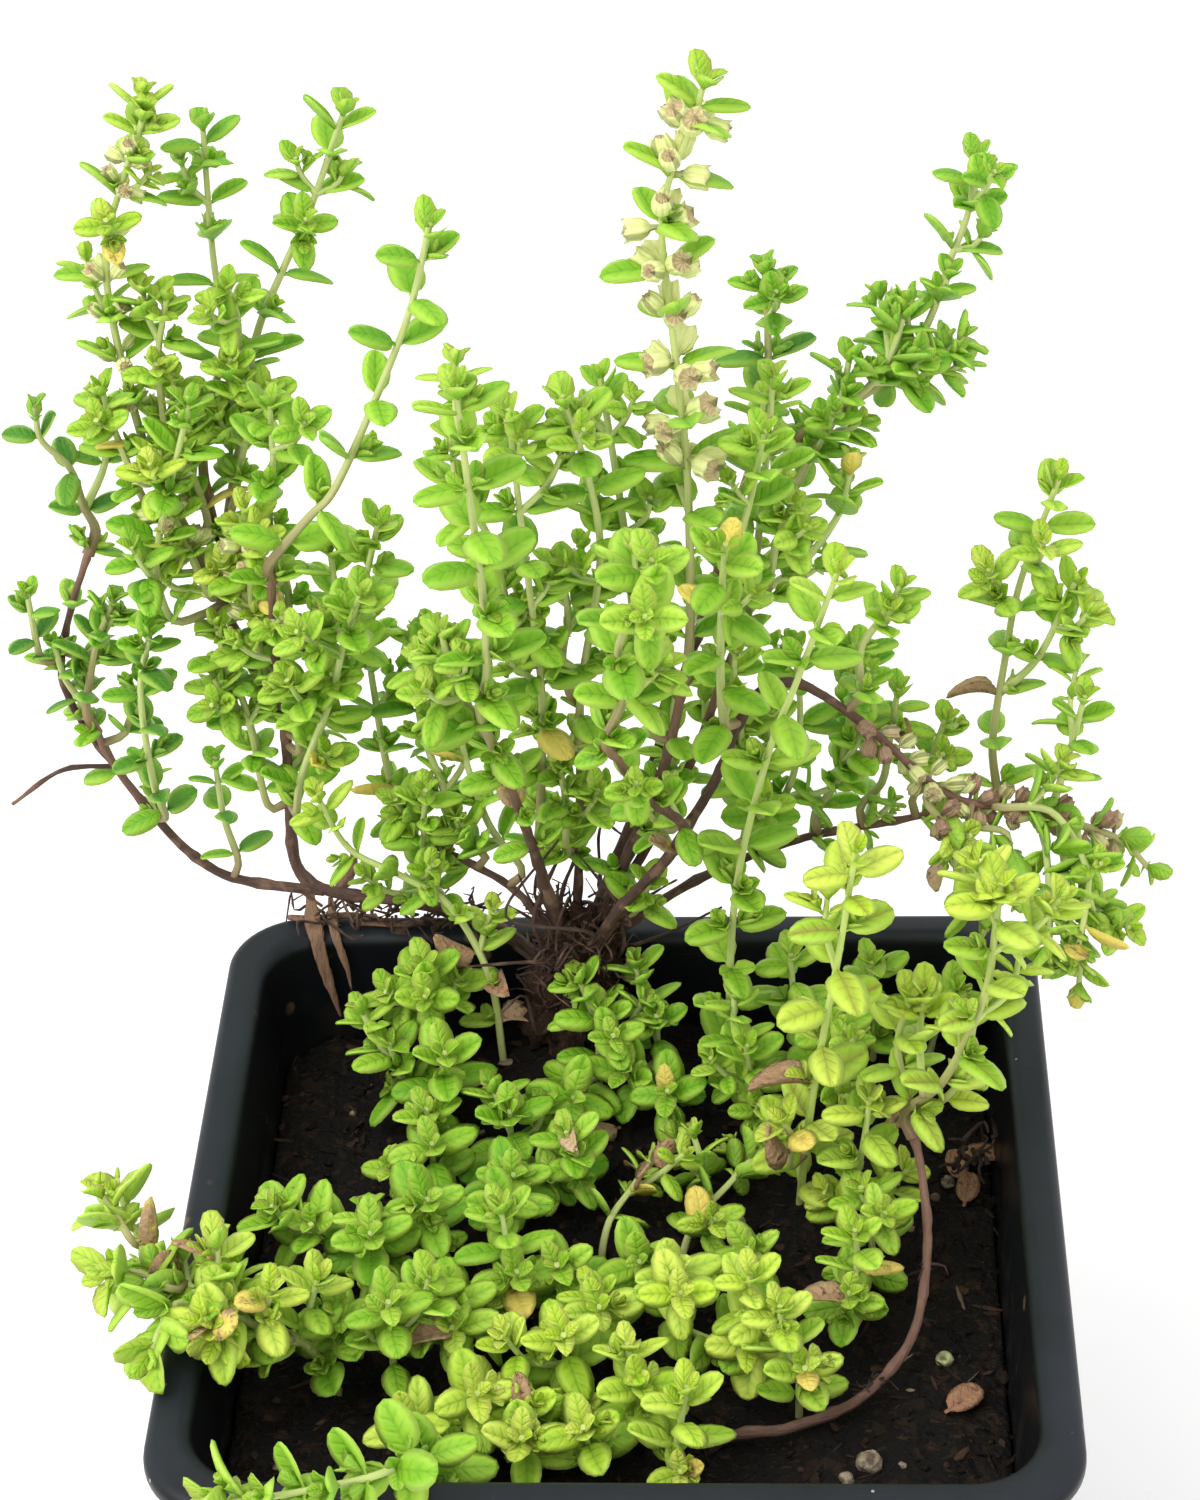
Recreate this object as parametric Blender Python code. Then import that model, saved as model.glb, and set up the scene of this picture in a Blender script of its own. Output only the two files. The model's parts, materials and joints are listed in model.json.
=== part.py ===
"""Potted thyme: a bushy young thyme plant in a 9 cm square nursery pot.

The pot is a thin square shell with a flat flange for a rim. Compost fills it to about a
centimetre below the rim. A woody crown stands at the back of the compost and carries most
of the leafy shoots. Other shoots stand in the compost by themselves.

Metres, +Z up, the front of the pot towards -Y. The origin is the middle of the underside.
Lengths below are in millimetres and are scaled where a mesh is made.
"""

import math
import random

import bmesh
import bpy
from mathutils import Matrix, Vector, noise
from mathutils.bvhtree import BVHTree

MM = 0.001
GAP = 0.3

# Pot
POT_WIDTH = 90.0
POT_HEIGHT = 95.0
BASE_WIDTH = 64.0
WALL = 1.2
FLANGE = 3.4
FLANGE_THICKNESS = 2.6
COLLAR_HEIGHT = 9.0
COLLAR_STEP = 0.7
RIM_CORNER_RADIUS = 8.5
BASE_CORNER_RADIUS = 6.0
DRAIN_HOLE_RADIUS = 4.0
DRAIN_HOLE_OFFSET = 19.0

# Compost, measured down from the rim
COMPOST_DEPTH = 13.0
MOUND_CENTRE = (-5.0, 35.0)
MOUND_HEIGHT = 4.5
MOUND_REACH = 13.0
CRUMB_HEIGHT = 0.9
HOLE_SIDES = 5
HOLE_OVERSHOOT = 6.0
WOODY_HOLE_EASE = 0.5

# Leaves and stems
LEAF_WIDTH_SHARE = 0.6
LEAF_THICKNESS = 0.9
PAIR_SPACING = 2.6
GREEN_STEM_RADIUS = 0.8
GREEN_TIP_RADIUS = 0.62
GREEN_STEM_SIDES = 4
WOODY_STEM_SIDES = 5
STEM_STRAY = 0.35
SPREAD_AT_TIP = 46.0
SPREAD_AT_BASE = 74.0
BUD_DEPTH = 0.9
BUD_LEAN = 8.0
BUD_SHARE = 0.62
ROOT_DEPTH = 6.0
BARE_FOOT = 2.5
BARK_REACH = 2.5
CALYX_LENGTH = 2.6
CALYX_WIDTH = 1.5

# The woody stems, in mm: x to the right, y to the back, z up from the rim. Each one starts
# inside the stem that carries it. The two radii are at its foot and at its end.
WOODY_STEMS = {
    "crown": ([(-6, 34, -20), (-6, 34, -12), (-6.3, 34.6, -4), (-6, 35.5, 3)], 3.0, 1.9),
    "rim_left": ([(-6.5, 35, -4), (-14, 39.5, 1.6), (-24, 43.5, 2.7), (-34, 46, 2.4),
                  (-38, 47.5, 5), (-38.3, 48.5, 14), (-38.3, 49.5, 24), (-41, 51, 29),
                  (-46, 54, 41)], 1.7, 1.0),
    "far_left": ([(-35, 46.2, 2.4), (-42, 48, 2), (-46.6, 48.5, 3), (-50.5, 49, 6),
                  (-54.5, 50, 11), (-58, 51, 16.5), (-59.8, 51, 22)], 1.3, 0.9),
    "bare_twig": ([(-58, 51, 16.5), (-64, 51, 16), (-70, 50, 12)], 0.6, 0.4),
    "far_left_upper": ([(-58, 51, 16.5), (-61.5, 53.2, 21), (-63.5, 55, 26), (-62.5, 57, 32),
                        (-59.5, 60, 40)], 0.9, 0.8),
    "left_inner": ([(-38.3, 49.5, 23), (-38, 46.5, 36), (-37.3, 44.5, 46)], 0.9, 0.75),
    "left_back": ([(-38.5, 50, 25), (-41, 54.5, 35), (-43, 57.5, 43)], 0.9, 0.75),
    "left_rear": ([(-43.5, 52.3, 35), (-44.5, 57, 41), (-46, 61, 46.5)], 0.85, 0.7),
    "centre_left": ([(-6, 35, 0), (-8.5, 33, 12), (-10.5, 29.5, 24), (-12, 26.5, 33)], 1.3, 0.85),
    "behind_left": ([(-6.5, 35.5, 0), (-9.5, 37, 10), (-9.5, 37, 16)], 1.0, 0.8),
    "centre": ([(-6, 36, 2), (-5.5, 39, 12), (-5, 38.5, 20)], 1.0, 0.8),
    "tall": ([(-5.5, 35.5, 1), (-1, 36.5, 12), (4, 36.5, 26), (6.5, 36, 38)], 1.3, 0.9),
    "front_arc": ([(-5.5, 34.5, 1), (-0.5, 31, 12), (5, 27, 22), (6.4, 24, 28), (3.2, 20, 34.4),
                   (0.9, 16, 41), (-0.3, 14, 45)], 1.2, 0.8),
    "arching_right": ([(-5, 35, 2), (3, 34, 14), (9.5, 33, 27), (12, 33, 34), (14.5, 33.5, 38.5),
                       (18.6, 34, 39), (24, 34, 35), (28, 34, 31), (32, 35, 26), (36, 35, 23),
                       (42.3, 36, 21.2)], 1.3, 0.8),
    "right_back": ([(-5, 36, 1), (6, 39.5, 8), (18, 42.5, 12), (30, 45, 13), (38.5, 46, 14.5)],
                   1.2, 0.8),
    "back": ([(-5.5, 36.5, 2), (1, 41, 18), (7, 47, 34), (11, 54, 44), (14, 59, 52)], 1.2, 0.8),
    "back_right": ([(7, 47, 34), (13, 52, 47), (18, 56, 54)], 0.9, 0.8),
    "centre_right": ([(-5, 36, 2), (5, 39.5, 20), (11, 41, 36)], 1.1, 0.85),
}
ARCHING_RUNNER = ([(9, -24.5, -20), (9.5, -24.5, -13), (12.5, -24.6, -11), (17, -24, -10.8),
                   (24, -20.5, -10.3), (29.5, -14, -8), (31.3, -4.5, -4), (30.8, 3.5, -0.5),
                   (29.8, 5, 3)], 1.25, 0.9)

# The leafy shoots. Each has what it stands on, the points that it grows through, its leaf
# length, the distance between its leaf pairs and, where it has flowered, its whorls of calyxes.
# A shoot stands in the compost, or on a woody stem at a share of that stem's length.
# The side shoots start on the main one.
SHOOTS = {
    "tall_flowering_shoot": dict(
        on=("tall", 1.0), leaf=6.2, pair=4.2, whorls=8,
        path=[(7.3, 36.5, 48), (7.2, 37, 62), (6.6, 38, 71), (5.5, 40, 82), (5, 41, 88.4),
              (5.7, 42, 93), (7.9, 43, 98), (9.4, 43, 103.5)]),
    "centre_left_shoot": dict(
        on=("centre_left", 1.0), leaf=6.2, pair=5.6,
        path=[(-14, 22.5, 43.7), (-12.8, 20, 50.6), (-12.7, 18.5, 62), (-13.2, 17, 72),
              (-14, 17, 85)]),
    "behind_left_shoot": dict(
        on=("behind_left", 1.0), leaf=5.8, pair=6.0,
        path=[(-8.5, 35.5, 36), (-9, 32.5, 51), (-9.6, 32, 61), (-10.3, 32, 73.5)]),
    "centre_shoot": dict(
        on=("centre", 1.0), leaf=5.8, pair=6.0,
        path=[(-4.5, 37, 35.7), (-1.8, 34.5, 54.5), (-2.9, 32, 67), (-4.9, 32, 75)]),
    "centre_back_shoot": dict(
        on=("tall", 0.8), leaf=5.4, pair=6.0,
        path=[(1.5, 39.5, 40), (0.5, 39.5, 55), (-1.5, 41, 72)]),
    "front_rosette_shoot": dict(
        on=("front_arc", 1.0), leaf=6.4, pair=5.4,
        path=[(1, 12.4, 52.4), (0.8, 11, 59), (2.6, 9, 66), (4.4, 6, 72.5)]),
    "long_pale_shoot": dict(
        on=("compost", (11.5, 30)), leaf=6.2, pair=6.6,
        path=[(11, 27.5, 2), (12, 24, 21), (15.4, 21, 40), (18.1, 20, 49), (22, 17, 64)]),
    "yellow_green_shoot": dict(
        on=("compost", (18.5, 10.5)), leaf=6.2, pair=6.0,
        path=[(19.2, 8, 0), (20.6, 6, 14), (22.2, 4, 27.5), (23.6, 2, 41.5)]),
    "right_shoot": dict(
        on=("runner", 1.0), leaf=6.2, pair=5.0,
        path=[(33, 3.5, 11), (36.6, 3, 22), (37.4, 2, 31.6), (37.6, 1, 38)],
        sides=[[(31, 4, 8), (30.6, 8, 13), (31.1, 8.5, 18)]]),
    "right_back_shoot": dict(
        on=("right_back", 1.0), leaf=5.8, pair=5.4,
        path=[(39.9, 47, 22), (41, 48.5, 32), (42.4, 50, 41), (46, 50, 54)],
        sides=[[(40.6, 48, 28), (44.5, 47.5, 33), (48, 47, 43)]]),
    "right_spray": dict(
        on=("arching_right", 1.0), leaf=5.0, pair=5.0, whorls=4,
        path=[(47.8, 37, 18.6), (53.4, 38, 15.4), (57, 38, 11.2)],
        sides=[[(45.5, 36.6, 19.8), (47.5, 40, 25), (48.9, 40, 33)],
               [(46.5, 36.8, 19.3), (46.8, 32, 17.5), (47.5, 27, 12)],
               [(48.5, 37.1, 18.2), (49, 31, 12), (48.5, 25, 5)]]),
    "right_arch_shoot": dict(
        on=("arching_right", 0.68), leaf=5.0, pair=4.6,
        path=[(24.9, 36, 41.8), (27.4, 36.5, 46), (29, 36.5, 49.5)]),
    "dry_heads": dict(
        on=("arching_right", 0.86), leaf=4.5, pair=6.0, whorls=3,
        path=[(34.5, 32, 21.5), (36, 28.5, 18)]),
    "back_right_shoot": dict(
        on=("back_right", 1.0), leaf=5.8, pair=4.6,
        path=[(24, 60, 57.2), (29.7, 64, 59.5), (33, 67, 64), (35, 70, 69), (37, 72, 74),
              (37.6, 73, 80)]),
    "back_shoot": dict(
        on=("back", 1.0), leaf=5.6, pair=5.4,
        path=[(15.5, 62, 61), (15.2, 64, 72)]),
    "centre_right_spray": dict(
        on=("centre_right", 1.0), leaf=5.6, pair=5.4,
        path=[(13.5, 42, 44), (15, 44, 58), (16, 46, 69)],
        sides=[[(12.6, 41.6, 41), (11.5, 38, 49), (13.6, 37, 60), (15.1, 35, 69)],
               [(13.6, 42, 44.5), (18.8, 46, 46), (23, 50, 50), (24.3, 52, 55)]]),
    "arch_rosette_shoot": dict(
        on=("arching_right", 0.49), leaf=5.8, pair=5.6,
        path=[(10.4, 28.5, 44), (10.7, 25, 56.6), (11.1, 22, 64)]),
    "left_flowering_shoot": dict(
        on=("rim_left", 1.0), leaf=5.8, pair=4.6, whorls=7,
        path=[(-49.7, 56, 50), (-52.1, 58, 56), (-54.3, 61, 69), (-54.3, 63, 76),
              (-52.7, 64, 81), (-49.1, 65, 90)]),
    "left_rear_shoot": dict(
        on=("left_rear", 1.0), leaf=5.6, pair=5.6,
        path=[(-46, 64.5, 54), (-43.6, 68, 61), (-44.6, 72, 70), (-44.8, 75, 84)]),
    "left_back_shoot": dict(
        on=("left_back", 1.0), leaf=5.8, pair=5.8,
        path=[(-42, 61, 52), (-39.8, 65, 63), (-36.3, 68, 70.5), (-33.4, 70, 76), (-29, 72, 87)]),
    "left_inner_shoot": dict(
        on=("left_inner", 1.0), leaf=5.8, pair=6.4,
        path=[(-32.3, 42, 55), (-29.3, 41, 59), (-24.2, 39, 70.7), (-19.9, 37, 82),
              (-17.3, 36, 92)]),
    "left_middle_shoot": dict(
        on=("left_back", 0.35), leaf=5.6, pair=5.4,
        path=[(-37, 53.5, 38), (-38, 51.5, 48), (-37, 51, 56), (-36.6, 50, 64)]),
    "left_outer_shoot": dict(
        on=("rim_left", 0.94), leaf=5.6, pair=5.4,
        path=[(-49.5, 50, 37), (-50.5, 50, 44), (-48.3, 51, 53), (-45.3, 52, 63)]),
    "left_fan_upper": dict(
        on=("rim_left", 0.72), leaf=5.6, pair=5.4,
        path=[(-33, 46.5, 28), (-28.8, 45, 40), (-25.4, 44, 53)]),
    "left_fan_lower": dict(
        on=("rim_left", 0.6), leaf=5.6, pair=5.2,
        path=[(-36, 44, 20), (-31.8, 42, 31.7), (-29.4, 40, 41), (-27.1, 38, 48)]),
    "rim_shoot": dict(
        on=("rim_left", 0.24), leaf=5.0, pair=4.4,
        path=[(-22.8, 41, 9), (-22.5, 40, 15), (-21.8, 38, 22.5)]),
    "trailing_pale_shoot": dict(
        on=("compost", (-14.5, 32)), leaf=4.6, pair=5.6,
        path=[(-15.7, 34, 0), (-19.8, 36, 8.2), (-25.2, 36, 12.6), (-30.5, 37, 15.4),
              (-33.5, 37, 22.6)]),
    "far_left_shoot": dict(
        on=("far_left", 1.0), leaf=5.4, pair=4.8,
        path=[(-60.2, 52.4, 26), (-58.6, 53, 32), (-56.3, 54, 37)]),
    "far_left_inner_shoot": dict(
        on=("far_left", 0.62), leaf=5.4, pair=4.8,
        path=[(-53, 46.5, 18), (-53.4, 47.5, 29), (-51.5, 47, 37)]),
    "low_left_shoot": dict(
        on=("far_left", 0.3), leaf=4.8, pair=6.4,
        path=[(-46, 49, 11), (-46.3, 49, 19)]),
    "far_left_outer_shoot": dict(
        on=("far_left_upper", 0.5), leaf=5.2, pair=4.8,
        path=[(-65.6, 54, 31), (-65.9, 54, 38)]),
    "far_left_top_shoot": dict(
        on=("far_left_upper", 1.0), leaf=5.2, pair=5.6,
        path=[(-59.5, 59, 46), (-60, 57, 52), (-62.4, 55.5, 56.5), (-62.4, 55, 61)],
        sides=[[(-59.6, 59.2, 45), (-57, 61, 50), (-56.5, 61, 55)]]),
    "front_centre_rosettes": dict(
        on=("compost", (5, -9.5)), leaf=5.4, pair=3.2,
        path=[(5.2, -11, -6), (5.5, -14, 1)],
        sides=[[(5, -9.9, -10.5), (10, -13.5, -9.5), (13.8, -16.5, -6), (14.6, -19, -0.5)]]),
    "front_middle_rosettes": dict(
        on=("compost", (-5.5, -17)), leaf=5.4, pair=3.2,
        path=[(-5.4, -18.5, -7), (-5.3, -21, -1)],
        sides=[[(-5.5, -17.5, -10.5), (-7.5, -24, -9.5), (-8.8, -29.5, -8), (-9, -32, -4)]]),
    "front_low_rosette": dict(
        on=("compost", (5, -30)), leaf=5.2, pair=3.2,
        path=[(6, -30.5, -6), (7, -29.5, 0.5)]),
    "front_left_rosettes": dict(
        on=("compost", (-15, -23)), leaf=5.4, pair=3.2,
        path=[(-14.5, -25, -7), (-13.5, -28, -2)],
        sides=[[(-15, -23.4, -10.5), (-18.5, -26, -9), (-20.5, -29.5, -5)]]),
    "left_front_rosette": dict(
        on=("compost", (-23, -17)), leaf=6.0, pair=3.6,
        path=[(-22.8, -18, -5), (-22.5, -20.5, 3)]),
    "left_carpet": dict(
        on=("compost", (-21, 2.5)), leaf=5.6, pair=3.4,
        path=[(-20.8, 0, -6), (-20, -3, 0.5)],
        sides=[[(-21, 2.3, -10.5), (-25, -1.5, -8), (-25.6, -5, -4.5), (-25.5, -7.5, 0)],
               [(-21, 2.4, -11), (-27, 1.5, -9.5), (-31, -2, -6.5), (-32, -4.5, -1.5)]]),
    "middle_left_rosettes": dict(
        on=("compost", (-12.5, 17)), leaf=5.2, pair=3.2,
        path=[(-12.6, 15.5, -7.5), (-12.5, 14, -2.5)],
        sides=[[(-12.5, 16.8, -10.5), (-12.8, 10, -9.5), (-12.4, 6, -7), (-11.5, 3.5, -2)],
               [(-12.5, 16.9, -11), (-8, 12.5, -9.5), (-5.6, 9.5, -7), (-5, 8, -3)]]),
    "back_left_rosettes": dict(
        on=("compost", (-21, 22.5)), leaf=6.0, pair=3.4,
        path=[(-20.4, 21.5, -5), (-19.5, 19, 1.5)],
        sides=[[(-21, 22.4, -9.5), (-25, 24.5, -7), (-26, 23.5, -1)]]),
    "back_left_tuft": dict(
        on=("compost", (-22.5, 32.5)), leaf=5.6, pair=3.6,
        path=[(-22.6, 32, -3), (-22.3, 31, 4)]),
    "crown_foot_rosettes": dict(
        on=("compost", (-3.5, 27)), leaf=5.2, pair=3.2,
        path=[(-3.4, 26.8, -4), (-3, 26, 1.5)],
        sides=[[(-3.5, 26.8, -8), (-6.2, 22, -7.5), (-6, 18.5, -4.5)]]),
    "centre_rosettes": dict(
        on=("compost", (3, 29)), leaf=5.0, pair=3.4,
        path=[(3, 28.6, -5), (3, 27.5, -0.5)],
        sides=[[(3, 28.8, -8), (0.3, 24.5, -7), (-0.6, 22, -3.5)],
               [(3, 28.8, -9), (4.6, 22, -7.5), (4.2, 19, -4)]]),
    "middle_rosette": dict(
        on=("compost", (-11.5, -6.5)), leaf=5.4, pair=3.4,
        path=[(-11.4, -8, -7), (-10.5, -11, -2)]),
    "creeping_shoot": dict(
        on=("compost", (-2.5, 2.5)), leaf=4.4, pair=4.6,
        path=[(-1.6, 4.4, -9), (0.6, 8, -8), (2.8, 12, -7)]),
    "creeping_runner": dict(
        on=("compost", (6, 2.5)), leaf=4.8, pair=4.8,
        path=[(7.5, 4.5, -9), (10.5, 8, -8), (15, 13, -6)],
        sides=[[(9, 6.2, -8.6), (8, 10.5, -6.5), (7, 12.5, -4)]]),
    "right_front_rosettes": dict(
        on=("compost", (26, 0.5)), leaf=4.8, pair=3.2,
        path=[(25.6, 0.3, -6.5), (24.6, 0.5, -1)],
        sides=[[(26, 0.4, -10.5), (24, -6, -9.5), (23, -10.5, -7.5), (23, -13, -3)]]),
    "right_middle_rosettes": dict(
        on=("compost", (18.5, 29)), leaf=5.2, pair=3.8,
        path=[(18, 28.6, 0), (17.6, 27.5, 8)],
        sides=[[(18.4, 28.9, -6), (21.5, 24, -3), (22.5, 20, 4.5)]]),
    "right_foot_rosette": dict(
        on=("compost", (13, 22)), leaf=5.2, pair=3.6,
        path=[(13.2, 21, -5), (12.8, 19.5, 2)]),
    "left_rim_spray": dict(
        on=("compost", (-29, -17)), leaf=6.0, pair=4.0,
        path=[(-31.5, -18.3, -5), (-36, -19.4, -0.5), (-41, -19, 2.6), (-46.5, -15.5, 4.2),
              (-50.8, -8, 6.5)],
        sides=[[(-36, -19.4, -0.5), (-37.5, -20.8, 2), (-38.2, -22.3, 5)]]),
    "front_rim_spray": dict(
        on=("compost", (-17, -32.5)), leaf=5.6, pair=4.0,
        path=[(-17.5, -36, -4), (-18.5, -40, 1.6), (-22, -44, 3.4), (-30, -46.5, 3.6),
              (-37, -47.5, 3.2)]),
}

# Leaves that have dropped and lie on the compost: their middles and their headings.
FALLEN_LEAVES = [(-17.5, 28.5, 20), (-14, 24.5, 75), (1, 15.5, 130), (12.5, 12.5, 100),
                 (34.5, -19, 40)]
FALLEN_LEAF_LENGTH = 4.4
FLAT_SPOT = 3.4

COLOURS = {
    "pot": ((0.012, 0.013, 0.016), 0.42),
    "compost": ((0.016, 0.011, 0.008), 0.95),
    "wood": ((0.16, 0.09, 0.06), 0.8),
    "shoot": ((0.16, 0.36, 0.05), 0.5),
    "dry_leaf": ((0.45, 0.28, 0.14), 0.75),
}


def clear_scene():
    for thing in list(bpy.data.objects):
        bpy.data.objects.remove(thing)


def new_collection(name):
    made = bpy.data.collections.new(name)
    bpy.context.scene.collection.children.link(made)
    return made


def material(name):
    colour, roughness = COLOURS[name]
    made = bpy.data.materials.new(name)
    made.use_nodes = True
    shader = made.node_tree.nodes["Principled BSDF"]
    shader.inputs["Base Color"].default_value = (*colour, 1.0)
    shader.inputs["Roughness"].default_value = roughness
    shader.inputs["Metallic"].default_value = 0.0
    return made


def from_rim(point):
    """A place given from the middle of the rim, as one from the middle of the underside."""
    return Vector((point[0], point[1], point[2] + POT_HEIGHT))


# The pot's walls and the compost that fits them

def inner_half(z):
    """Half the inside width of the pot at a height above its underside."""
    top = POT_WIDTH / 2 - FLANGE - 0.9
    bottom = BASE_WIDTH / 2 - WALL
    return bottom + (top - bottom) * (z - WALL) / (POT_HEIGHT - WALL)


def corner_radius(z):
    return BASE_CORNER_RADIUS + (RIM_CORNER_RADIUS - BASE_CORNER_RADIUS) * z / POT_HEIGHT


def rounded_square(half, radius, corner_steps, side_steps):
    """The points of a square with round corners, anticlockwise."""
    points = []
    middle = half - radius
    for corner in range(4):
        turn = corner * math.pi / 2
        for step in range(corner_steps + 1):
            angle = turn + step / corner_steps * math.pi / 2
            centre = Matrix.Rotation(turn, 3, "Z") @ Vector((middle, middle, 0))
            points.append(centre + radius * Vector((math.cos(angle), math.sin(angle), 0)))
        last = points[-1]
        following = Matrix.Rotation(turn + math.pi / 2, 3, "Z") @ Vector((half, middle, 0))
        for step in range(1, side_steps):
            points.append(last.lerp(following, step / side_steps))
    return points


def loft(mesh, rings):
    """Joins closed rings of equal size, and closes the two ends."""
    made = [[mesh.verts.new(point * MM) for point in ring] for ring in rings]
    count = len(made[0])
    for lower, upper in zip(made, made[1:]):
        for i in range(count):
            j = (i + 1) % count
            mesh.faces.new((lower[i], lower[j], upper[j], upper[i]))
    return made


def mesh_object(name, mesh, finish, collection):
    data = bpy.data.meshes.new(name)
    mesh.to_mesh(data)
    mesh.free()
    data.materials.append(finish)
    made = bpy.data.objects.new(name, data)
    collection.objects.link(made)
    return made


def pot_profile():
    """Half-widths, heights and corner radii, up the outside and down the inside."""
    rim = POT_WIDTH / 2
    collar_foot = POT_HEIGHT - COLLAR_HEIGHT
    under_flange = POT_HEIGHT - FLANGE_THICKNESS
    outer = [(BASE_WIDTH / 2 - 1.5, 0.0), (BASE_WIDTH / 2 - 0.4, 0.5), (BASE_WIDTH / 2, 1.6),
             (inner_half(collar_foot) + WALL, collar_foot),
             (inner_half(collar_foot) + WALL + COLLAR_STEP, collar_foot + COLLAR_STEP),
             (inner_half(under_flange) + WALL + COLLAR_STEP, under_flange - 0.4),
             (rim - 0.8, under_flange), (rim - 0.2, under_flange + 0.3),
             (rim, under_flange + 0.9), (rim, POT_HEIGHT - 1.1), (rim - 0.3, POT_HEIGHT - 0.4),
             (rim - 1.0, POT_HEIGHT)]
    inner = [(rim - FLANGE + 0.3, POT_HEIGHT), (rim - FLANGE - 0.4, POT_HEIGHT - 0.35),
             (inner_half(POT_HEIGHT - 1.6), POT_HEIGHT - 1.6), (inner_half(WALL + 1.5), WALL + 1.5),
             (inner_half(WALL) - 1.2, WALL)]
    return outer + inner


def build_pot(collection, cutters):
    mesh = bmesh.new()
    rings = []
    for half, z in pot_profile():
        radius = corner_radius(z) + min(0.0, half - POT_WIDTH / 2) * 0.3
        ring = rounded_square(half, radius, 3, 1)
        rings.append([point + Vector((0, 0, z)) for point in ring])
    made = loft(mesh, rings)
    mesh.faces.new(list(reversed(made[0])))
    mesh.faces.new(made[-1])
    pot = mesh_object("pot", mesh, material("pot"), collection)
    for i, (x, y) in enumerate([(1, 1), (-1, 1), (-1, -1), (1, -1)]):
        hole = bmesh.new()
        bmesh.ops.create_cone(hole, cap_ends=True, segments=12, radius1=DRAIN_HOLE_RADIUS * MM,
                              radius2=DRAIN_HOLE_RADIUS * MM, depth=4 * WALL * MM)
        place = Vector((x * DRAIN_HOLE_OFFSET, y * DRAIN_HOLE_OFFSET, WALL / 2)) * MM
        bmesh.ops.translate(hole, verts=hole.verts, vec=place)
        mesh_object(f"drain_hole_{i + 1}", hole, pot.data.materials[0], cutters["pot"])
    cut_with(pot, cutters["pot"])
    return pot


def compost_height(x, y):
    """How far the compost's surface lies below the rim, as a negative height."""
    away = math.hypot(x - MOUND_CENTRE[0], y - MOUND_CENTRE[1])
    mound = MOUND_HEIGHT * math.exp(-(away / MOUND_REACH) ** 2)
    crumbs = CRUMB_HEIGHT * noise.noise(Vector((x / 5, y / 5, 0.5)))
    for leaf_x, leaf_y, _ in FALLEN_LEAVES:
        crumbs *= 1 - math.exp(-((x - leaf_x) ** 2 + (y - leaf_y) ** 2) / FLAT_SPOT ** 2)
    return -COMPOST_DEPTH + mound + crumbs


def build_compost(collection):
    mesh = bmesh.new()
    floor = WALL + GAP
    rings = []
    for z, inset in ((floor, 1.6), (floor + 1.6, 0.0)):
        ring = rounded_square(inner_half(z) - GAP - inset, corner_radius(z) - 2, 2, 5)
        rings.append([point + Vector((0, 0, z)) for point in ring])
    level = POT_HEIGHT - COMPOST_DEPTH
    edge = rounded_square(inner_half(level) - GAP, corner_radius(level) - 2, 2, 5)
    for share in (1.0, 0.86, 0.68, 0.5, 0.32, 0.16):
        ring = []
        for point in edge:
            x, y = point.x * share, point.y * share
            z = POT_HEIGHT + compost_height(x, y)
            if share == 1.0:
                widen = (inner_half(z) - GAP) / (inner_half(level) - GAP)
                x, y = x * widen, y * widen
            ring.append(Vector((x, y, z)))
        rings.append(ring)
    made = loft(mesh, rings)
    mesh.faces.new(list(reversed(made[0])))
    middle = mesh.verts.new(from_rim((0, 0, compost_height(0, 0))) * MM)
    top = made[-1]
    for i in range(len(top)):
        mesh.faces.new((top[i], top[(i + 1) % len(top)], middle))
    bmesh.ops.triangulate(mesh, faces=mesh.faces)
    return mesh_object("compost", mesh, material("compost"), collection)


# Stems and what grows on them

class Path:
    """A smooth line through points, with a frame that doesn't twist along it."""

    STEP = 0.5

    def __init__(self, points):
        self.places = self.even(self.smooth([Vector(p) for p in points]))
        self.length = self.STEP * (len(self.places) - 1)
        self.tangents = []
        for i in range(len(self.places)):
            before = self.places[max(i - 1, 0)]
            after = self.places[min(i + 1, len(self.places) - 1)]
            self.tangents.append((after - before).normalized())
        side = Vector((1, 0.35, 0))
        self.sides = []
        for tangent in self.tangents:
            side = (side - side.dot(tangent) * tangent).normalized()
            self.sides.append(side)

    @staticmethod
    def smooth(points):
        ends = [2 * points[0] - points[1]] + points + [2 * points[-1] - points[-2]]
        line = []
        for a, b, c, d in zip(ends, ends[1:], ends[2:], ends[3:]):
            for step in range(12):
                t = step / 12
                line.append(0.5 * (2 * b + (c - a) * t + (2 * a - 5 * b + 4 * c - d) * t * t
                                   + (3 * b - a - 3 * c + d) * t ** 3))
        return line + [points[-1]]

    @classmethod
    def even(cls, line):
        total = sum((b - a).length for a, b in zip(line, line[1:]))
        count = max(3, round(total / cls.STEP))
        places, gone, index = [line[0]], 0.0, 0
        for i in range(1, count):
            wanted = total * i / count
            while gone + (line[index + 1] - line[index]).length < wanted:
                gone += (line[index + 1] - line[index]).length
                index += 1
            share = (wanted - gone) / (line[index + 1] - line[index]).length
            places.append(line[index].lerp(line[index + 1], share))
        return places + [line[-1]]

    def at(self, distance):
        """The place, the direction of growth and two directions across the stem."""
        index = round(max(0.0, min(1.0, distance / self.length)) * (len(self.places) - 1))
        tangent, side = self.tangents[index], self.sides[index]
        return self.places[index], tangent, side, tangent.cross(side)


def ring_distances(path):
    """Where a stem gets a ring: as few as keep its straight lengths close to the curve."""
    places, rings = path.places, [0]
    for i in range(2, len(places)):
        start = places[rings[-1]]
        chord = (places[i] - start).normalized()
        stray = max((places[k] - start).cross(chord).length for k in range(rings[-1], i))
        if stray > STEM_STRAY and i < len(places) - 2:
            rings.append(i - 1)
    return [path.length * ring / (len(places) - 1) for ring in rings + [len(places) - 1]]


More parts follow.
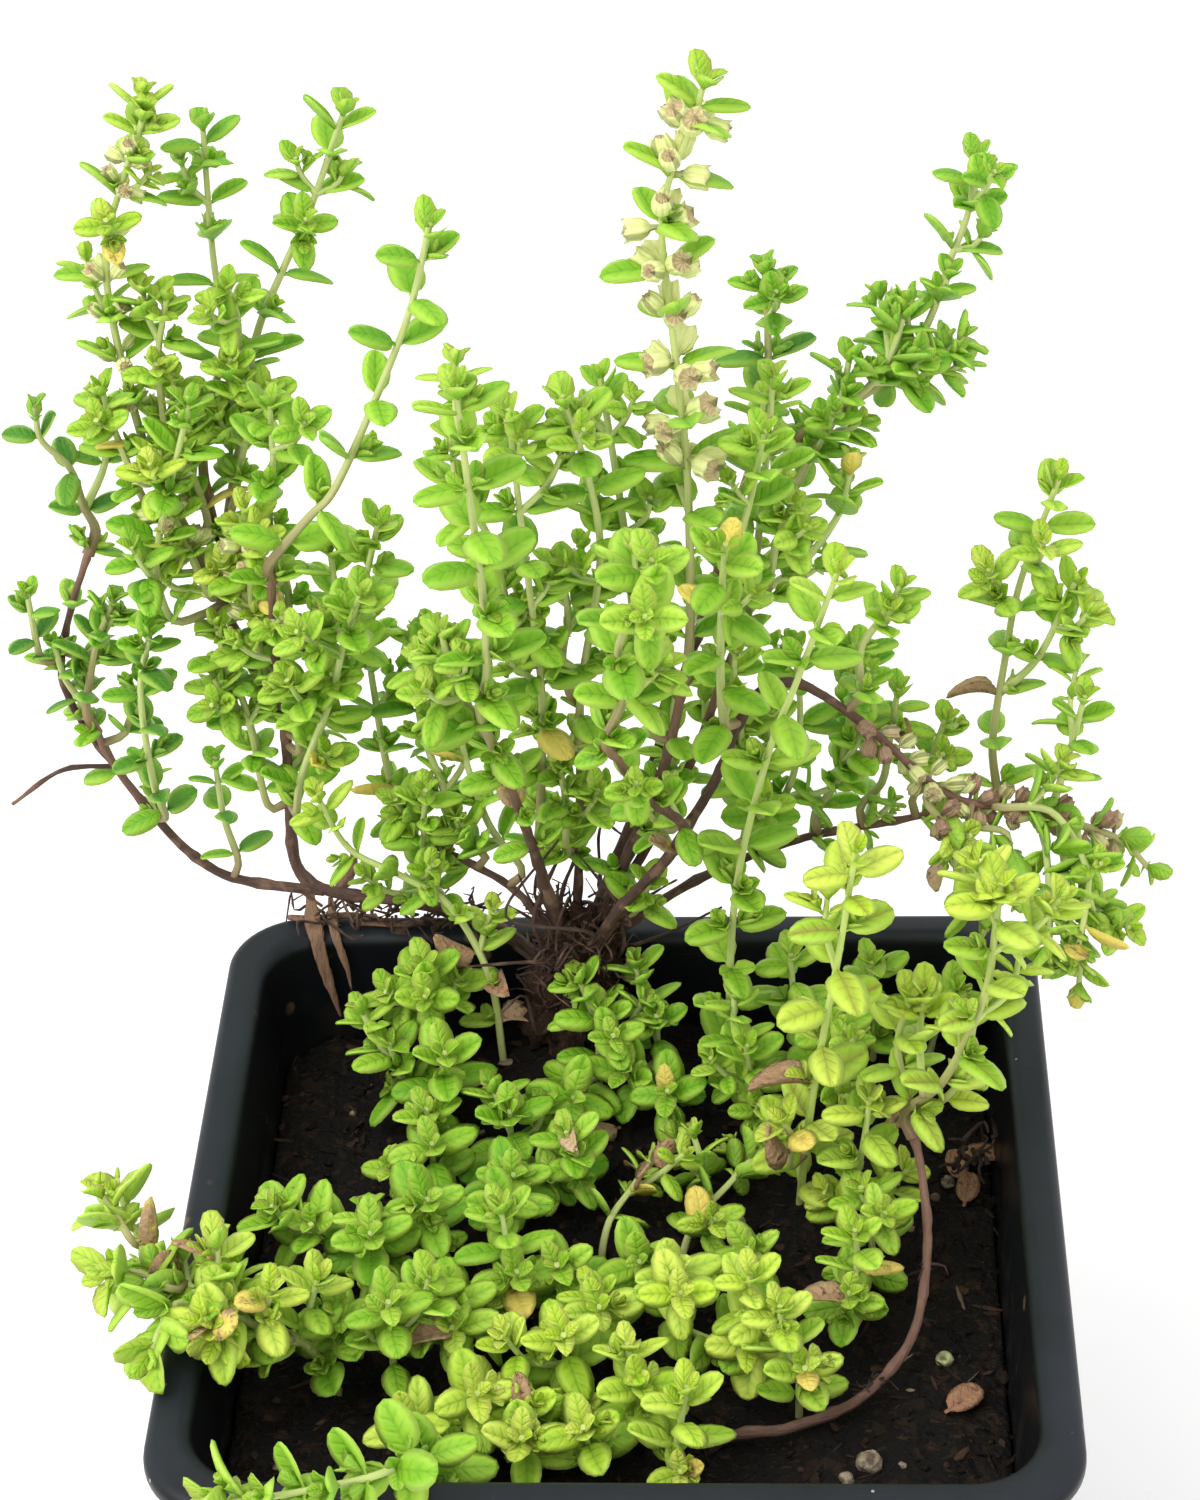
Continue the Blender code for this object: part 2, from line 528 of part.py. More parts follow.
def tube(name, path, foot_radius, end_radius, sides, collection):
    """A tapering stem. A green one is square, with its flats towards the leaf pairs."""
    rings = []
    for distance in ring_distances(path):
        place, _, side, across = path.at(distance)
        radius = foot_radius + (end_radius - foot_radius) * distance / path.length
        ring = []
        for i in range(sides):
            angle = (i + 0.5) / sides * 2 * math.pi
            ring.append(place + radius * (math.cos(angle) * side + math.sin(angle) * across))
        rings.append(ring)
    mesh = bmesh.new()
    made = loft(mesh, rings)
    mesh.faces.new(list(reversed(made[0])))
    mesh.faces.new(made[-1])
    bmesh.ops.triangulate(mesh, faces=mesh.faces)
    data = bpy.data.meshes.new(name)
    mesh.to_mesh(data)
    mesh.free()
    made = bpy.data.objects.new(name, data)
    collection.objects.link(made)
    return made


def leaf_template():
    """A leaf one unit long: an oval blade, arched along its length and troughed at the rib."""
    mesh = bmesh.new()
    bmesh.ops.create_uvsphere(mesh, u_segments=6, v_segments=2, radius=1,
                              matrix=Matrix.Rotation(math.pi / 6, 4, "Z"))
    for vert in mesh.verts:
        along = max(0.0, (vert.co.x + 1) / 2)
        across = vert.co.y
        vert.co.x = along ** 0.62
        vert.co.y = across * (0.56 + 0.1 * (0.5 - along))
        vert.co.z = vert.co.z * 0.5 - 0.5 * (along - 0.3) ** 2 + 0.35 * abs(across)
    data = bpy.data.meshes.new("leaf_template")
    mesh.to_mesh(data)
    mesh.free()
    return data


def calyx_template():
    mesh = bmesh.new()
    bmesh.ops.create_cone(mesh, cap_ends=True, segments=4, radius1=0.22, radius2=0.5, depth=1)
    bmesh.ops.translate(mesh, verts=mesh.verts, vec=(0, 0, 0.5))
    bmesh.ops.triangulate(mesh, faces=mesh.faces)
    data = bpy.data.meshes.new("calyx_template")
    mesh.to_mesh(data)
    mesh.free()
    return data


def leaf_frame(path, distance, turn, spread):
    """Where a leaf grows, and the directions of its length, width and upper side."""
    place, growth, side, across = path.at(distance)
    outward = math.cos(turn) * side + math.sin(turn) * across
    length = math.cos(spread) * growth + math.sin(spread) * outward
    width = growth.cross(outward).normalized()
    return place, length, width, length.cross(width).normalized()


def placed(place, x_axis, y_axis, z_axis):
    rows = Matrix((x_axis, y_axis, z_axis)).transposed().to_4x4()
    rows.translation = place
    return Matrix.Scale(MM, 4) @ rows


def leaf_spots(path, leaf, pair, bare, seed):
    """Distance, turn, spread and length of every leaf, from the tip down.

    A bud ends the stem. Under it the pairs stand crosswise, and they grow longer, wider
    apart and more open down the stem.
    """
    draw = random.Random(seed)
    spots = [(path.length - BUD_DEPTH, 0.0, math.radians(BUD_LEAN), leaf * BUD_SHARE)]
    distance, index = path.length - BUD_DEPTH, 1
    while True:
        distance -= pair * PAIR_SPACING * min(1.0, 0.2 + 0.2 * index)
        if distance < bare:
            return spots
        grown = min(1.0, 0.5 + 0.18 * index)
        openness = min(1.0, (index - 1) / 3)
        for half in (0, 1):
            turn = index * math.pi / 2 + half * math.pi + draw.uniform(-0.15, 0.15)
            spread = math.radians(SPREAD_AT_TIP + (SPREAD_AT_BASE - SPREAD_AT_TIP) * openness
                                  + draw.uniform(-7, 7))
            spots.append((distance, turn, spread, leaf * grown * draw.uniform(0.9, 1.05)))
        index += 1


def calyx_spots(path, leaf_distances, whorls, seed):
    """Two calyxes at the stem just above each of the pairs that flowered."""
    draw = random.Random(seed + 500)
    spots = []
    for distance in leaf_distances[2:2 + whorls]:
        start = draw.uniform(0, 2 * math.pi)
        for half in (0, 1):
            turn = start + half * math.pi + draw.uniform(-0.3, 0.3)
            spread = math.radians(draw.uniform(40, 75))
            spots.append((distance + 0.9 + draw.uniform(-0.5, 0.5), turn, spread))
    return spots


# Keeping the pieces clear of each other

class Neighbours:
    """The surfaces of what is already placed, by the node that each belongs to."""

    def __init__(self):
        self.items = []

    @staticmethod
    def shape(data, matrix=None):
        verts = [matrix @ v.co if matrix else v.co.copy() for v in data.vertices]
        faces = [tuple(p.vertices) for p in data.polygons]
        low = Vector(min(v[i] for v in verts) for i in range(3))
        high = Vector(max(v[i] for v in verts) for i in range(3))
        return verts, low, high, BVHTree.FromPolygons(verts, faces)

    def add(self, owner, data, matrix=None):
        _, low, high, tree = self.shape(data, matrix)
        self.items.append((owner, low, high, tree))

    def crossed(self, owner, data, matrix, outer_matrix):
        """Whether a piece would cross another node, its own node's pieces or the compost.

        Among its own node's pieces only its outer part counts, as its root is sunk in them.
        """
        verts, low, high, tree = self.shape(data, matrix)
        outer_tree = self.shape(data, outer_matrix)[3]
        for vert in verts:
            x, y, z = vert / MM
            inside = max(abs(x), abs(y)) < inner_half(min(z, POT_HEIGHT)) + 1
            if inside and z < POT_HEIGHT + compost_height(x, y) + 2 * GAP:
                return True
        for other, other_low, other_high, other_tree in self.items:
            if any(low[i] > other_high[i] or high[i] < other_low[i] for i in range(3)):
                continue
            if (outer_tree if other == owner else tree).overlap(other_tree):
                return True
        return False


def apply_modifiers(thing):
    evaluated = thing.evaluated_get(bpy.context.evaluated_depsgraph_get())
    data = bpy.data.meshes.new_from_object(evaluated)
    old = thing.data
    thing.modifiers.clear()
    thing.data = data
    bpy.data.meshes.remove(old)


def empty_out(collection):
    for thing in list(collection.objects):
        bpy.data.objects.remove(thing)
    bpy.data.collections.remove(collection)


def union_with(thing, collection):
    modifier = thing.modifiers.new("grown_together", "BOOLEAN")
    modifier.operation = "UNION"
    modifier.operand_type = "COLLECTION"
    modifier.collection = collection
    modifier.solver = "MANIFOLD"
    apply_modifiers(thing)
    empty_out(collection)


def cut_with(thing, collection):
    modifier = thing.modifiers.new("holes", "BOOLEAN")
    modifier.operation = "DIFFERENCE"
    modifier.operand_type = "COLLECTION"
    modifier.collection = collection
    modifier.solver = "EXACT"
    for cutter in collection.objects:
        cutter.hide_render = True
        cutter.display_type = "WIRE"
    apply_modifiers(thing)
    empty_out(collection)


# The woody stems

def build_woody(name, stems, finish, collection):
    """Stems that grew as one: the first is the body and the others are joined to it."""
    others = bpy.data.collections.new(name + "_branches")
    bpy.context.scene.collection.children.link(others)
    body = None
    for stem, (points, foot, end) in stems.items():
        path = Path([from_rim(p) for p in points])
        holder = collection if body is None else others
        made = tube(stem, path, foot, end, WOODY_STEM_SIDES, holder)
        if body is None:
            body = made
    finish_node(body, name, others, finish)
    return body


def finish_node(body, name, others, finish):
    """Joins what grows on a body to it, and names the node."""
    if others.objects:
        union_with(body, others)
    else:
        bpy.data.collections.remove(others)
    body.name = name
    body.data.name = name
    body.data.materials.clear()
    body.data.materials.append(finish)


def foot_of(shoot, woody, bark_surface):
    """Where a shoot starts, and one more point that sets its direction there."""
    carrier, where = shoot["on"]
    if carrier == "compost":
        x, y = where
        surface = compost_height(x, y)
        return [(x, y, surface - ROOT_DEPTH + GAP), (x, y, surface - 1), (x, y, surface + 1)]
    stem = woody[carrier]
    path = Path([from_rim(p) for p in stem[0]])
    place, tangent, _, _ = path.at(where * path.length)
    place = place - Vector((0, 0, POT_HEIGHT))
    if where == 1.0:
        start = place + tangent * GAP
        return [tuple(start), tuple(start + tangent * 2)]
    aim = (Vector(shoot["path"][0]) - place).normalized()
    aim = (aim - aim.dot(tangent) * tangent).normalized()
    hit = bark_surface.ray_cast(from_rim(place + aim * BARK_REACH) * MM, -aim)[0] / MM
    start = hit - Vector((0, 0, POT_HEIGHT)) + aim * 2 * GAP
    return [tuple(start), tuple(start + aim * 2)]


def shoot_paths(shoot, woody, bark_surface):
    main = Path([from_rim(p) for p in foot_of(shoot, woody, bark_surface) + shoot["path"]])
    sides = [Path([from_rim(p) for p in points]) for points in shoot.get("sides", [])]
    return [main] + sides


def build_shoots(woody, bark_surface, finish, collection, neighbours):
    """All the stems are placed first, and then the leaves where they stay clear."""
    leaf_data, calyx_data = leaf_template(), calyx_template()
    joined, bodies, routes = {}, {}, {}
    for name, shoot in SHOOTS.items():
        joined[name] = new_collection(name + "_leaves")
        routes[name] = shoot_paths(shoot, woody, bark_surface)
        for i, path in enumerate(routes[name]):
            holder = joined[name] if i else collection
            made = tube(f"{name}_{i}", path, GREEN_STEM_RADIUS, GREEN_TIP_RADIUS, GREEN_STEM_SIDES,
                        holder)
            neighbours.add(name, made.data)
            bodies.setdefault(name, made)
    for seed, (name, shoot) in enumerate(SHOOTS.items()):
        for i, path in enumerate(routes[name]):
            in_compost = shoot["on"][0] == "compost" and i == 0
            bare = BARE_FOOT + (ROOT_DEPTH if in_compost else 0.0)
            spots = leaf_spots(path, shoot["leaf"], shoot["pair"], bare, seed * 10 + i)
            grow_leaves(name, path, spots, leaf_data, joined[name], neighbours)
            if shoot.get("whorls") and i == 0:
                distances = [spot[0] for spot in spots[1::2]]
                whorls = calyx_spots(path, distances, shoot["whorls"], seed)
                grow_calyxes(name, path, whorls, calyx_data, joined[name], neighbours)
    for name, body in bodies.items():
        finish_node(body, name, joined[name], finish)


def grow_leaves(name, path, spots, data, holder, neighbours):
    """Each leaf turns a little aside, or is left off, where it would cross another node."""
    for distance, turn, spread, length in spots:
        for aside, lift, size in ((0, 0, 1), (0.45, 0, 1), (-0.45, 0, 1), (0, -0.5, 1),
                                  (0.3, 0.3, 0.85), (-0.3, -0.3, 0.7)):
            place, x, y, z = leaf_frame(path, distance, turn + aside, spread + lift)
            wide = y * length * size * LEAF_WIDTH_SHARE
            long = x * length * size
            swollen = placed(place, long * 1.03, wide * 1.1, z * LEAF_THICKNESS * 1.6)
            outer = placed(place + long * 0.34, long * 0.6, wide * 0.9, z * LEAF_THICKNESS)
            if neighbours.crossed(name, data, swollen, outer):
                continue
            matrix = placed(place, long, wide, z * LEAF_THICKNESS)
            grow(name, data, matrix, holder, neighbours)
            break


def grow_calyxes(name, path, spots, data, holder, neighbours):
    for distance, turn, spread in spots:
        place, x, y, z = leaf_frame(path, distance, turn, spread)
        matrix = placed(place, z * CALYX_WIDTH, y * CALYX_WIDTH, x * CALYX_LENGTH)
        swollen = placed(place, z * CALYX_WIDTH * 1.2, y * CALYX_WIDTH * 1.2, x * CALYX_LENGTH * 1.1)
        outer = placed(place + x * CALYX_LENGTH * 0.4, z * CALYX_WIDTH, y * CALYX_WIDTH,
                       x * CALYX_LENGTH * 0.6)
        if not neighbours.crossed(name, data, swollen, outer):
            grow(name, data, matrix, holder, neighbours)


def grow(name, data, matrix, holder, neighbours):
    copy = data.copy()
    copy.transform(matrix)
    if matrix.determinant() < 0:
        copy.flip_normals()
    made = bpy.data.objects.new(name + "_piece", copy)
    holder.objects.link(made)
    neighbours.add(name, copy)


def build_fallen_leaves(finish, collection):
    """Dry leaves, each on its flat spot of compost."""
    data = leaf_template()
    for i, (x, y, heading) in enumerate(FALLEN_LEAVES):
        turn = math.radians(heading)
        along = Vector((math.cos(turn), math.sin(turn), 0))
        across = Vector((-math.sin(turn), math.cos(turn), 0))
        copy = data.copy()
        middle = Vector((x, y, 0)) - along * FALLEN_LEAF_LENGTH / 2
        matrix = placed(middle, along * FALLEN_LEAF_LENGTH, across * FALLEN_LEAF_LENGTH * 0.6,
                        Vector((0, 0, LEAF_THICKNESS)))
        copy.transform(matrix)
        under = max(POT_HEIGHT + compost_height(*(v.co / MM).xy) - v.co.z / MM
                    for v in copy.vertices)
        copy.transform(Matrix.Translation((0, 0, (under + GAP) * MM)))
        copy.materials.append(finish)
        collection.objects.link(bpy.data.objects.new(f"fallen_leaf_{i + 1}", copy))


def drill_compost(compost, cutters):
    """A plain hole for each stem that stands in the compost."""
    feet = [(*shoot["on"][1], compost_height(*shoot["on"][1]) - ROOT_DEPTH, GREEN_STEM_RADIUS)
            for shoot in SHOOTS.values() if shoot["on"][0] == "compost"]
    for points, radius, _ in (WOODY_STEMS["crown"], ARCHING_RUNNER):
        feet.append((*points[1][:2], points[0][2] - GAP, radius + WOODY_HOLE_EASE))
    for i, (x, y, bottom, radius) in enumerate(feet):
        hole = bmesh.new()
        sides = HOLE_SIDES if radius < 2 * GREEN_STEM_RADIUS else 2 * HOLE_SIDES
        wide = (radius + 1.5 * GAP) / math.cos(math.pi / sides)
        top = compost_height(x, y) + HOLE_OVERSHOOT
        bmesh.ops.create_cone(hole, cap_ends=True, segments=sides, radius1=wide * MM,
                              radius2=wide * MM, depth=(top - bottom) * MM)
        middle = from_rim((x, y, (top + bottom) / 2))
        bmesh.ops.translate(hole, verts=hole.verts, vec=middle * MM)
        mesh_object(f"stem_hole_{i + 1}", hole, compost.data.materials[0], cutters)
    cut_with(compost, cutters)


clear_scene()
plant = new_collection("potted_thyme")
pot = build_pot(plant, {"pot": new_collection("drain_holes")})
compost = build_compost(plant)
neighbours = Neighbours()
neighbours.add("pot", pot.data)

bark = material("wood")
crown = build_woody("woody_crown", WOODY_STEMS, bark, plant)
runner = build_woody("arching_runner", {"runner": ARCHING_RUNNER}, bark, plant)
neighbours.add("woody_crown", crown.data)
neighbours.add("arching_runner", runner.data)
bark_surface = neighbours.items[1][3]
build_shoots({**WOODY_STEMS, "runner": ARCHING_RUNNER}, bark_surface, material("shoot"), plant,
             neighbours)
build_fallen_leaves(material("dry_leaf"), plant)
drill_compost(compost, new_collection("stem_holes"))
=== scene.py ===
"""The looks of the potted thyme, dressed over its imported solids.

The row frame is in metres, +Z up, with the front of the pot towards -Y. Places and sizes in the
sections below are in millimetres, and are scaled where a mesh is made.
"""

import json
import math
import random
from collections import namedtuple

import bmesh
import bpy
from mathutils import Matrix, Vector, noise

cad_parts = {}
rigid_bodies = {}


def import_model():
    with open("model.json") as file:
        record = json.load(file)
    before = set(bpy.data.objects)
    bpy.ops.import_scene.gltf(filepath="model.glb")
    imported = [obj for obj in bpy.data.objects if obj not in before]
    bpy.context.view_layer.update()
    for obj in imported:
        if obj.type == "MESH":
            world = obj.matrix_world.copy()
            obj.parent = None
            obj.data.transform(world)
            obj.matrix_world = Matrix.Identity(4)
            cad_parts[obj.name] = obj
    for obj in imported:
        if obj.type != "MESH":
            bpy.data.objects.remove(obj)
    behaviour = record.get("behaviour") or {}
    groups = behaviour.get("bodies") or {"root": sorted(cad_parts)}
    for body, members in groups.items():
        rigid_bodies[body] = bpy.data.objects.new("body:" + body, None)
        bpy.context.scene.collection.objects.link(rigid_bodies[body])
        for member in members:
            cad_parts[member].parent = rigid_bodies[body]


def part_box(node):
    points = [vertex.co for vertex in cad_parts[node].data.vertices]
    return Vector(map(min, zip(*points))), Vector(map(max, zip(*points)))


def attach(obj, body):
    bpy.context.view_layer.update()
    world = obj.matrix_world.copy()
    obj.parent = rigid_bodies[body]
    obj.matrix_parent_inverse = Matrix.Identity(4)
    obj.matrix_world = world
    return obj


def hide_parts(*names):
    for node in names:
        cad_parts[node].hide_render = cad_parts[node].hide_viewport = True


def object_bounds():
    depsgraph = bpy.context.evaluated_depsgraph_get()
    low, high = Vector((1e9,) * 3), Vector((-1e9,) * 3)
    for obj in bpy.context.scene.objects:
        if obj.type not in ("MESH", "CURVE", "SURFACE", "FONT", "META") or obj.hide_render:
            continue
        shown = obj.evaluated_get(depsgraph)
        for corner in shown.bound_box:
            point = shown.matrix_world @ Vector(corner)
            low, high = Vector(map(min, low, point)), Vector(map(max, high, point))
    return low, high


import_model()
cad_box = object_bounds()


# The camera. The photo looks down on the plant from the front, through a long lens. Its place
# and its turn were fitted to the four sides of the pot's rim.

MM = 0.001
CAMERA_PLACE = Vector((13.9, -284.2, 354.4))
CAMERA_YAW = math.radians(-2.95)
CAMERA_PITCH = math.radians(35.68)
CAMERA_ROLL = math.radians(-2.01)
LENS = 88.93
SENSOR_HEIGHT = 36.0
PHOTO_WIDTH, PHOTO_HEIGHT = 1200, 1500

ahead = Vector((math.sin(CAMERA_YAW) * math.cos(CAMERA_PITCH),
                math.cos(CAMERA_YAW) * math.cos(CAMERA_PITCH), -math.sin(CAMERA_PITCH)))
level = Vector((math.cos(CAMERA_YAW), -math.sin(CAMERA_YAW), 0))
upright = level.cross(ahead)
rightward = math.cos(CAMERA_ROLL) * level + math.sin(CAMERA_ROLL) * upright
upward = math.cos(CAMERA_ROLL) * upright - math.sin(CAMERA_ROLL) * level

camera_data = bpy.data.cameras.new("photo_camera")
camera_data.sensor_fit = "VERTICAL"
camera_data.sensor_height = SENSOR_HEIGHT
camera_data.lens = LENS
camera_data.clip_start = 0.01
camera = bpy.data.objects.new("photo_camera", camera_data)
camera.matrix_world = (Matrix.Translation(CAMERA_PLACE * MM)
                       @ Matrix((rightward, upward, -ahead)).transposed().to_4x4())
bpy.context.scene.collection.objects.link(camera)
bpy.context.scene.camera = camera
bpy.context.scene.view_settings.view_transform = "Standard"


def in_photo(place):
    """The photo's pixel that shows a place, and how far the place is from the camera."""
    away = place - CAMERA_PLACE
    depth = away.dot(ahead)
    scale = LENS / SENSOR_HEIGHT * PHOTO_HEIGHT / depth
    return (PHOTO_WIDTH / 2 + away.dot(rightward) * scale,
            PHOTO_HEIGHT / 2 - away.dot(upward) * scale, depth)


# The pot: one thin shell of black plastic, moulded in one shot, with a flat flange for a rim and
# a shallow collar under it. Its skin is satin, a little scratched, and dusty on the flange, which
# a painted bluish sheen also lightens.

pot_low, pot_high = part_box("pot")
POT_WIDTH = (pot_high.x - pot_low.x) / MM
POT_HEIGHT = pot_high.z / MM
BASE_WIDTH = 64.0
WALL = 1.2
FLANGE = 3.4
FLANGE_THICKNESS = 2.6
FLANGE_SLOPE = 0.9
COLLAR_HEIGHT = 9.0
COLLAR_STEP = 0.7
FOOT_ROUNDING = 1.6
LIP_ROUNDING = 0.9
RIM_ROUNDING = 1.1
INNER_ROUNDING = 1.5
RIM_CORNER_RADIUS = 8.5
BASE_CORNER_RADIUS = 6.0
CORNER_STEPS = 12
SIDE_STEPS = 10
DRAIN_HOLE_RADIUS = 4.0
DRAIN_HOLE_OFFSET = 19.0
LONG_STRETCH = 3.0
SUPPORT = 0.4


class Output:
    """What a node gives out. Sums and products of outputs add the Math nodes for them."""

    def __init__(self, nodes, socket):
        self.nodes = nodes
        self.socket = socket

    def math(self, operation, a, b):
        return self.nodes.add("ShaderNodeMath", {"operation": operation}, {0: a, 1: b})

    def __add__(self, other):
        return self.math("ADD", self, other)

    def __sub__(self, other):
        return self.math("SUBTRACT", self, other)

    def __rsub__(self, other):
        return self.math("SUBTRACT", other, self)

    def __mul__(self, other):
        return self.math("MULTIPLY", self, other)

    def __pow__(self, other):
        return self.math("POWER", self, other)

    def __abs__(self):
        return self.math("ABSOLUTE", self, 0.0)

    def __gt__(self, other):
        return self.math("GREATER_THAN", self, other)

    def waves(self):
        """A sine of the value, from 0 to 1."""
        return self.math("SINE", self, 0.0) * 0.5 + 0.5

    __radd__ = __add__
    __rmul__ = __mul__


class Nodes:
    """A node tree that is written as expressions."""

    def __init__(self, tree):
        self.tree = tree

    def add(self, kind, settings=None, sockets=None, output=0):
        """A node, given its settings first and then the values or the links of its sockets."""
        node = self.tree.nodes.new(kind)
        for name, value in (settings or {}).items():
            setattr(node, name, value)
        for name, value in (sockets or {}).items():
            if isinstance(value, Output):
                self.tree.links.new(value.socket, node.inputs[name])
            else:
                node.inputs[name].default_value = value
        return Output(self, node.outputs[output])


class Finish(Nodes):
    """A material, and the few kinds of node that its finishes are made from."""

    def __init__(self, name):
        self.material = bpy.data.materials.new(name)
        self.material.use_nodes = True
        super().__init__(self.material.node_tree)
        self.skin = self.tree.nodes["Principled BSDF"]
        self.place = self.add("ShaderNodeTexCoord", output="Object")

    def stretched(self, place, scale):
        return self.add("ShaderNodeMapping", {}, {"Vector": place, "Scale": scale})

    def noise(self, size, detail=2.0, place=None, rough=0.5):
        """Soft patches of about a size, in mm, from 0 to 1."""
        return self.add("ShaderNodeTexNoise", {},
                        {"Vector": place or self.place, "Scale": 1 / (size * MM),
                         "Detail": detail, "Roughness": rough})

    def cells(self, size, output="Distance"):
        """Cells of about a size, in mm: the distance to the nearest middle, or a colour for each."""
        return self.add("ShaderNodeTexVoronoi", {},
                        {"Vector": self.place, "Scale": 1 / (size * MM)}, output)

    def between(self, value, low, high):
        """0 below low and 1 above high, or the reverse where low is the higher."""
        return self.add("ShaderNodeMapRange", {"interpolation_type": "SMOOTHSTEP"},
                        {"Value": value, "From Min": low, "From Max": high})

    def mix(self, share, first, second):
        return self.add("ShaderNodeMix", {"data_type": "RGBA"}, {0: share, 6: first, 7: second}, 2)

    def carried(self, name, output="Fac"):
        """A value that the mesh carries."""
        return self.add("ShaderNodeAttribute", {"attribute_name": name}, {}, output)

    def part(self, vector, axis):
        return self.add("ShaderNodeSeparateXYZ", {}, {0: vector}, axis)

    def coat(self, colour, rough, shine, height=None, depth=0.0, **everywhere):
        """The material: its colour, its roughness and its shine, and bumps as deep as some mm."""
        changing = {"Base Color": colour, "Roughness": rough}
        if height:
            changing["Normal"] = self.add("ShaderNodeBump", {}, {"Height": height, "Strength": 1.0,
                                                                 "Distance": depth * MM})
        for name, value in changing.items():
            self.tree.links.new(value.socket, self.skin.inputs[name])
        for name, value in {"Specular_IOR_Level": shine, **everywhere}.items():
            self.skin.inputs[name.replace("_", " ")].default_value = value
        return self.material


def grey(value):
    return (value, value, value, 1.0)


def rgb(red, green, blue):
    return (red, green, blue, 1.0)


def inner_half(z):
    """Half the inside width of the pot at a height above its underside."""
    top = POT_WIDTH / 2 - FLANGE - FLANGE_SLOPE
    bottom = BASE_WIDTH / 2 - WALL
    return bottom + (top - bottom) * (z - WALL) / (POT_HEIGHT - WALL)


def corner_radius(z):
    return BASE_CORNER_RADIUS + (RIM_CORNER_RADIUS - BASE_CORNER_RADIUS) * z / POT_HEIGHT


def bend(half, z, radius, start, end, steps=5):
    """Profile points round a bend, between two angles in degrees."""
    angles = [math.radians(start + (end - start) * i / steps) for i in range(steps + 1)]
    return [(half + radius * math.cos(a), z + radius * math.sin(a)) for a in angles]


def pot_profile():
    """Half-widths and heights, up the outside of the pot and down its inside."""
    rim = POT_WIDTH / 2
    foot = BASE_WIDTH / 2 - FOOT_ROUNDING
    collar_foot = POT_HEIGHT - COLLAR_HEIGHT
    under_flange = POT_HEIGHT - FLANGE_THICKNESS
    wall = inner_half(collar_foot) + WALL
    collar = inner_half(under_flange) + WALL + COLLAR_STEP
    return ([(BASE_WIDTH / 2 - 4, 0.0)]
            + bend(foot, FOOT_ROUNDING, FOOT_ROUNDING, -90, 0)
            + [(wall, collar_foot), (wall + 0.25, collar_foot + 0.15),
               (wall + COLLAR_STEP - 0.15, collar_foot + COLLAR_STEP - 0.1),
               (wall + COLLAR_STEP + 0.1, collar_foot + COLLAR_STEP + 0.25),
               (collar, under_flange - 0.5), (collar + 0.15, under_flange - 0.15),
               (collar + 0.5, under_flange)]
            + bend(rim - LIP_ROUNDING, under_flange + LIP_ROUNDING, LIP_ROUNDING, -90, 0)
            + bend(rim - RIM_ROUNDING, POT_HEIGHT - RIM_ROUNDING, RIM_ROUNDING, 0, 90)
            + bend(inner_half(POT_HEIGHT) + INNER_ROUNDING, POT_HEIGHT - INNER_ROUNDING,
                   INNER_ROUNDING, 90, 180)
            + bend(inner_half(WALL) - INNER_ROUNDING, WALL + INNER_ROUNDING, INNER_ROUNDING, 0, -90)
            + [(inner_half(WALL) - 5, WALL)])


def with_supports(profile):
    """Adds a point close to each end of every long stretch, so that smooth shading leaves it flat."""
    made = [profile[0]]
    for a, b in zip(profile, profile[1:]):
        length = math.dist(a, b)
        if length > LONG_STRETCH:
            for share in (SUPPORT / length, 0.5, 1 - SUPPORT / length):
                made.append(tuple(p + (q - p) * share for p, q in zip(a, b)))
        made.append(b)
    return made


def rounded_square(half, radius):
    """The points of a square with round corners, anticlockwise."""
    points = []
    middle = half - radius
    for corner in range(4):
        turn = corner * math.pi / 2
        centre = Matrix.Rotation(turn, 3, "Z") @ Vector((middle, middle, 0))
        for step in range(CORNER_STEPS + 1):
            angle = turn + step / CORNER_STEPS * math.pi / 2
            points.append(centre + radius * Vector((math.cos(angle), math.sin(angle), 0)))
        last = points[-1]
        following = Matrix.Rotation(turn + math.pi / 2, 3, "Z") @ Vector((half, middle, 0))
        for step in range(1, SIDE_STEPS):
            points.append(last.lerp(following, step / SIDE_STEPS))
    return points


def new_piece(name, mesh, finish):
    """An object at the origin from a bmesh in mm."""
    bmesh.ops.scale(mesh, vec=(MM, MM, MM), verts=mesh.verts)
    data = bpy.data.meshes.new(name)
    mesh.to_mesh(data)
    mesh.free()
    data.materials.append(finish)
    data.shade_smooth()
    made = bpy.data.objects.new(name, data)
    bpy.context.scene.collection.objects.link(made)
    return made


def settle(thing):
    """Leaves what an object's modifiers make of it as its plain mesh."""
    sight = bpy.context.evaluated_depsgraph_get()
    data = bpy.data.meshes.new_from_object(thing.evaluated_get(sight), preserve_all_data_layers=True,
                                           depsgraph=sight)
    thing.modifiers.clear()
    thing.data = data
    data.name = thing.name


def into_collection(name, things):
    """Keeps shapes apart from the scene, to be cut with or set out from there."""
    kinds = bpy.data.collections.new(name)
    bpy.context.scene.collection.children.link(kinds)
    for thing in things:
        bpy.context.scene.collection.objects.unlink(thing)
        kinds.objects.link(thing)
    return kinds


def drop_shapes(kinds):
    for thing in list(kinds.objects):
        bpy.data.objects.remove(thing)
    bpy.data.collections.remove(kinds)


def loft(mesh, rings):
    """Joins closed rings of equal size, and closes both ends."""
    made = [[mesh.verts.new(point) for point in ring] for ring in rings]
    count = len(made[0])
    for lower, upper in zip(made, made[1:]):
        for i in range(count):
            j = (i + 1) % count
            mesh.faces.new((lower[i], lower[j], upper[j], upper[i]))
    mesh.faces.new(list(reversed(made[0])))
    mesh.faces.new(made[-1])
    return made


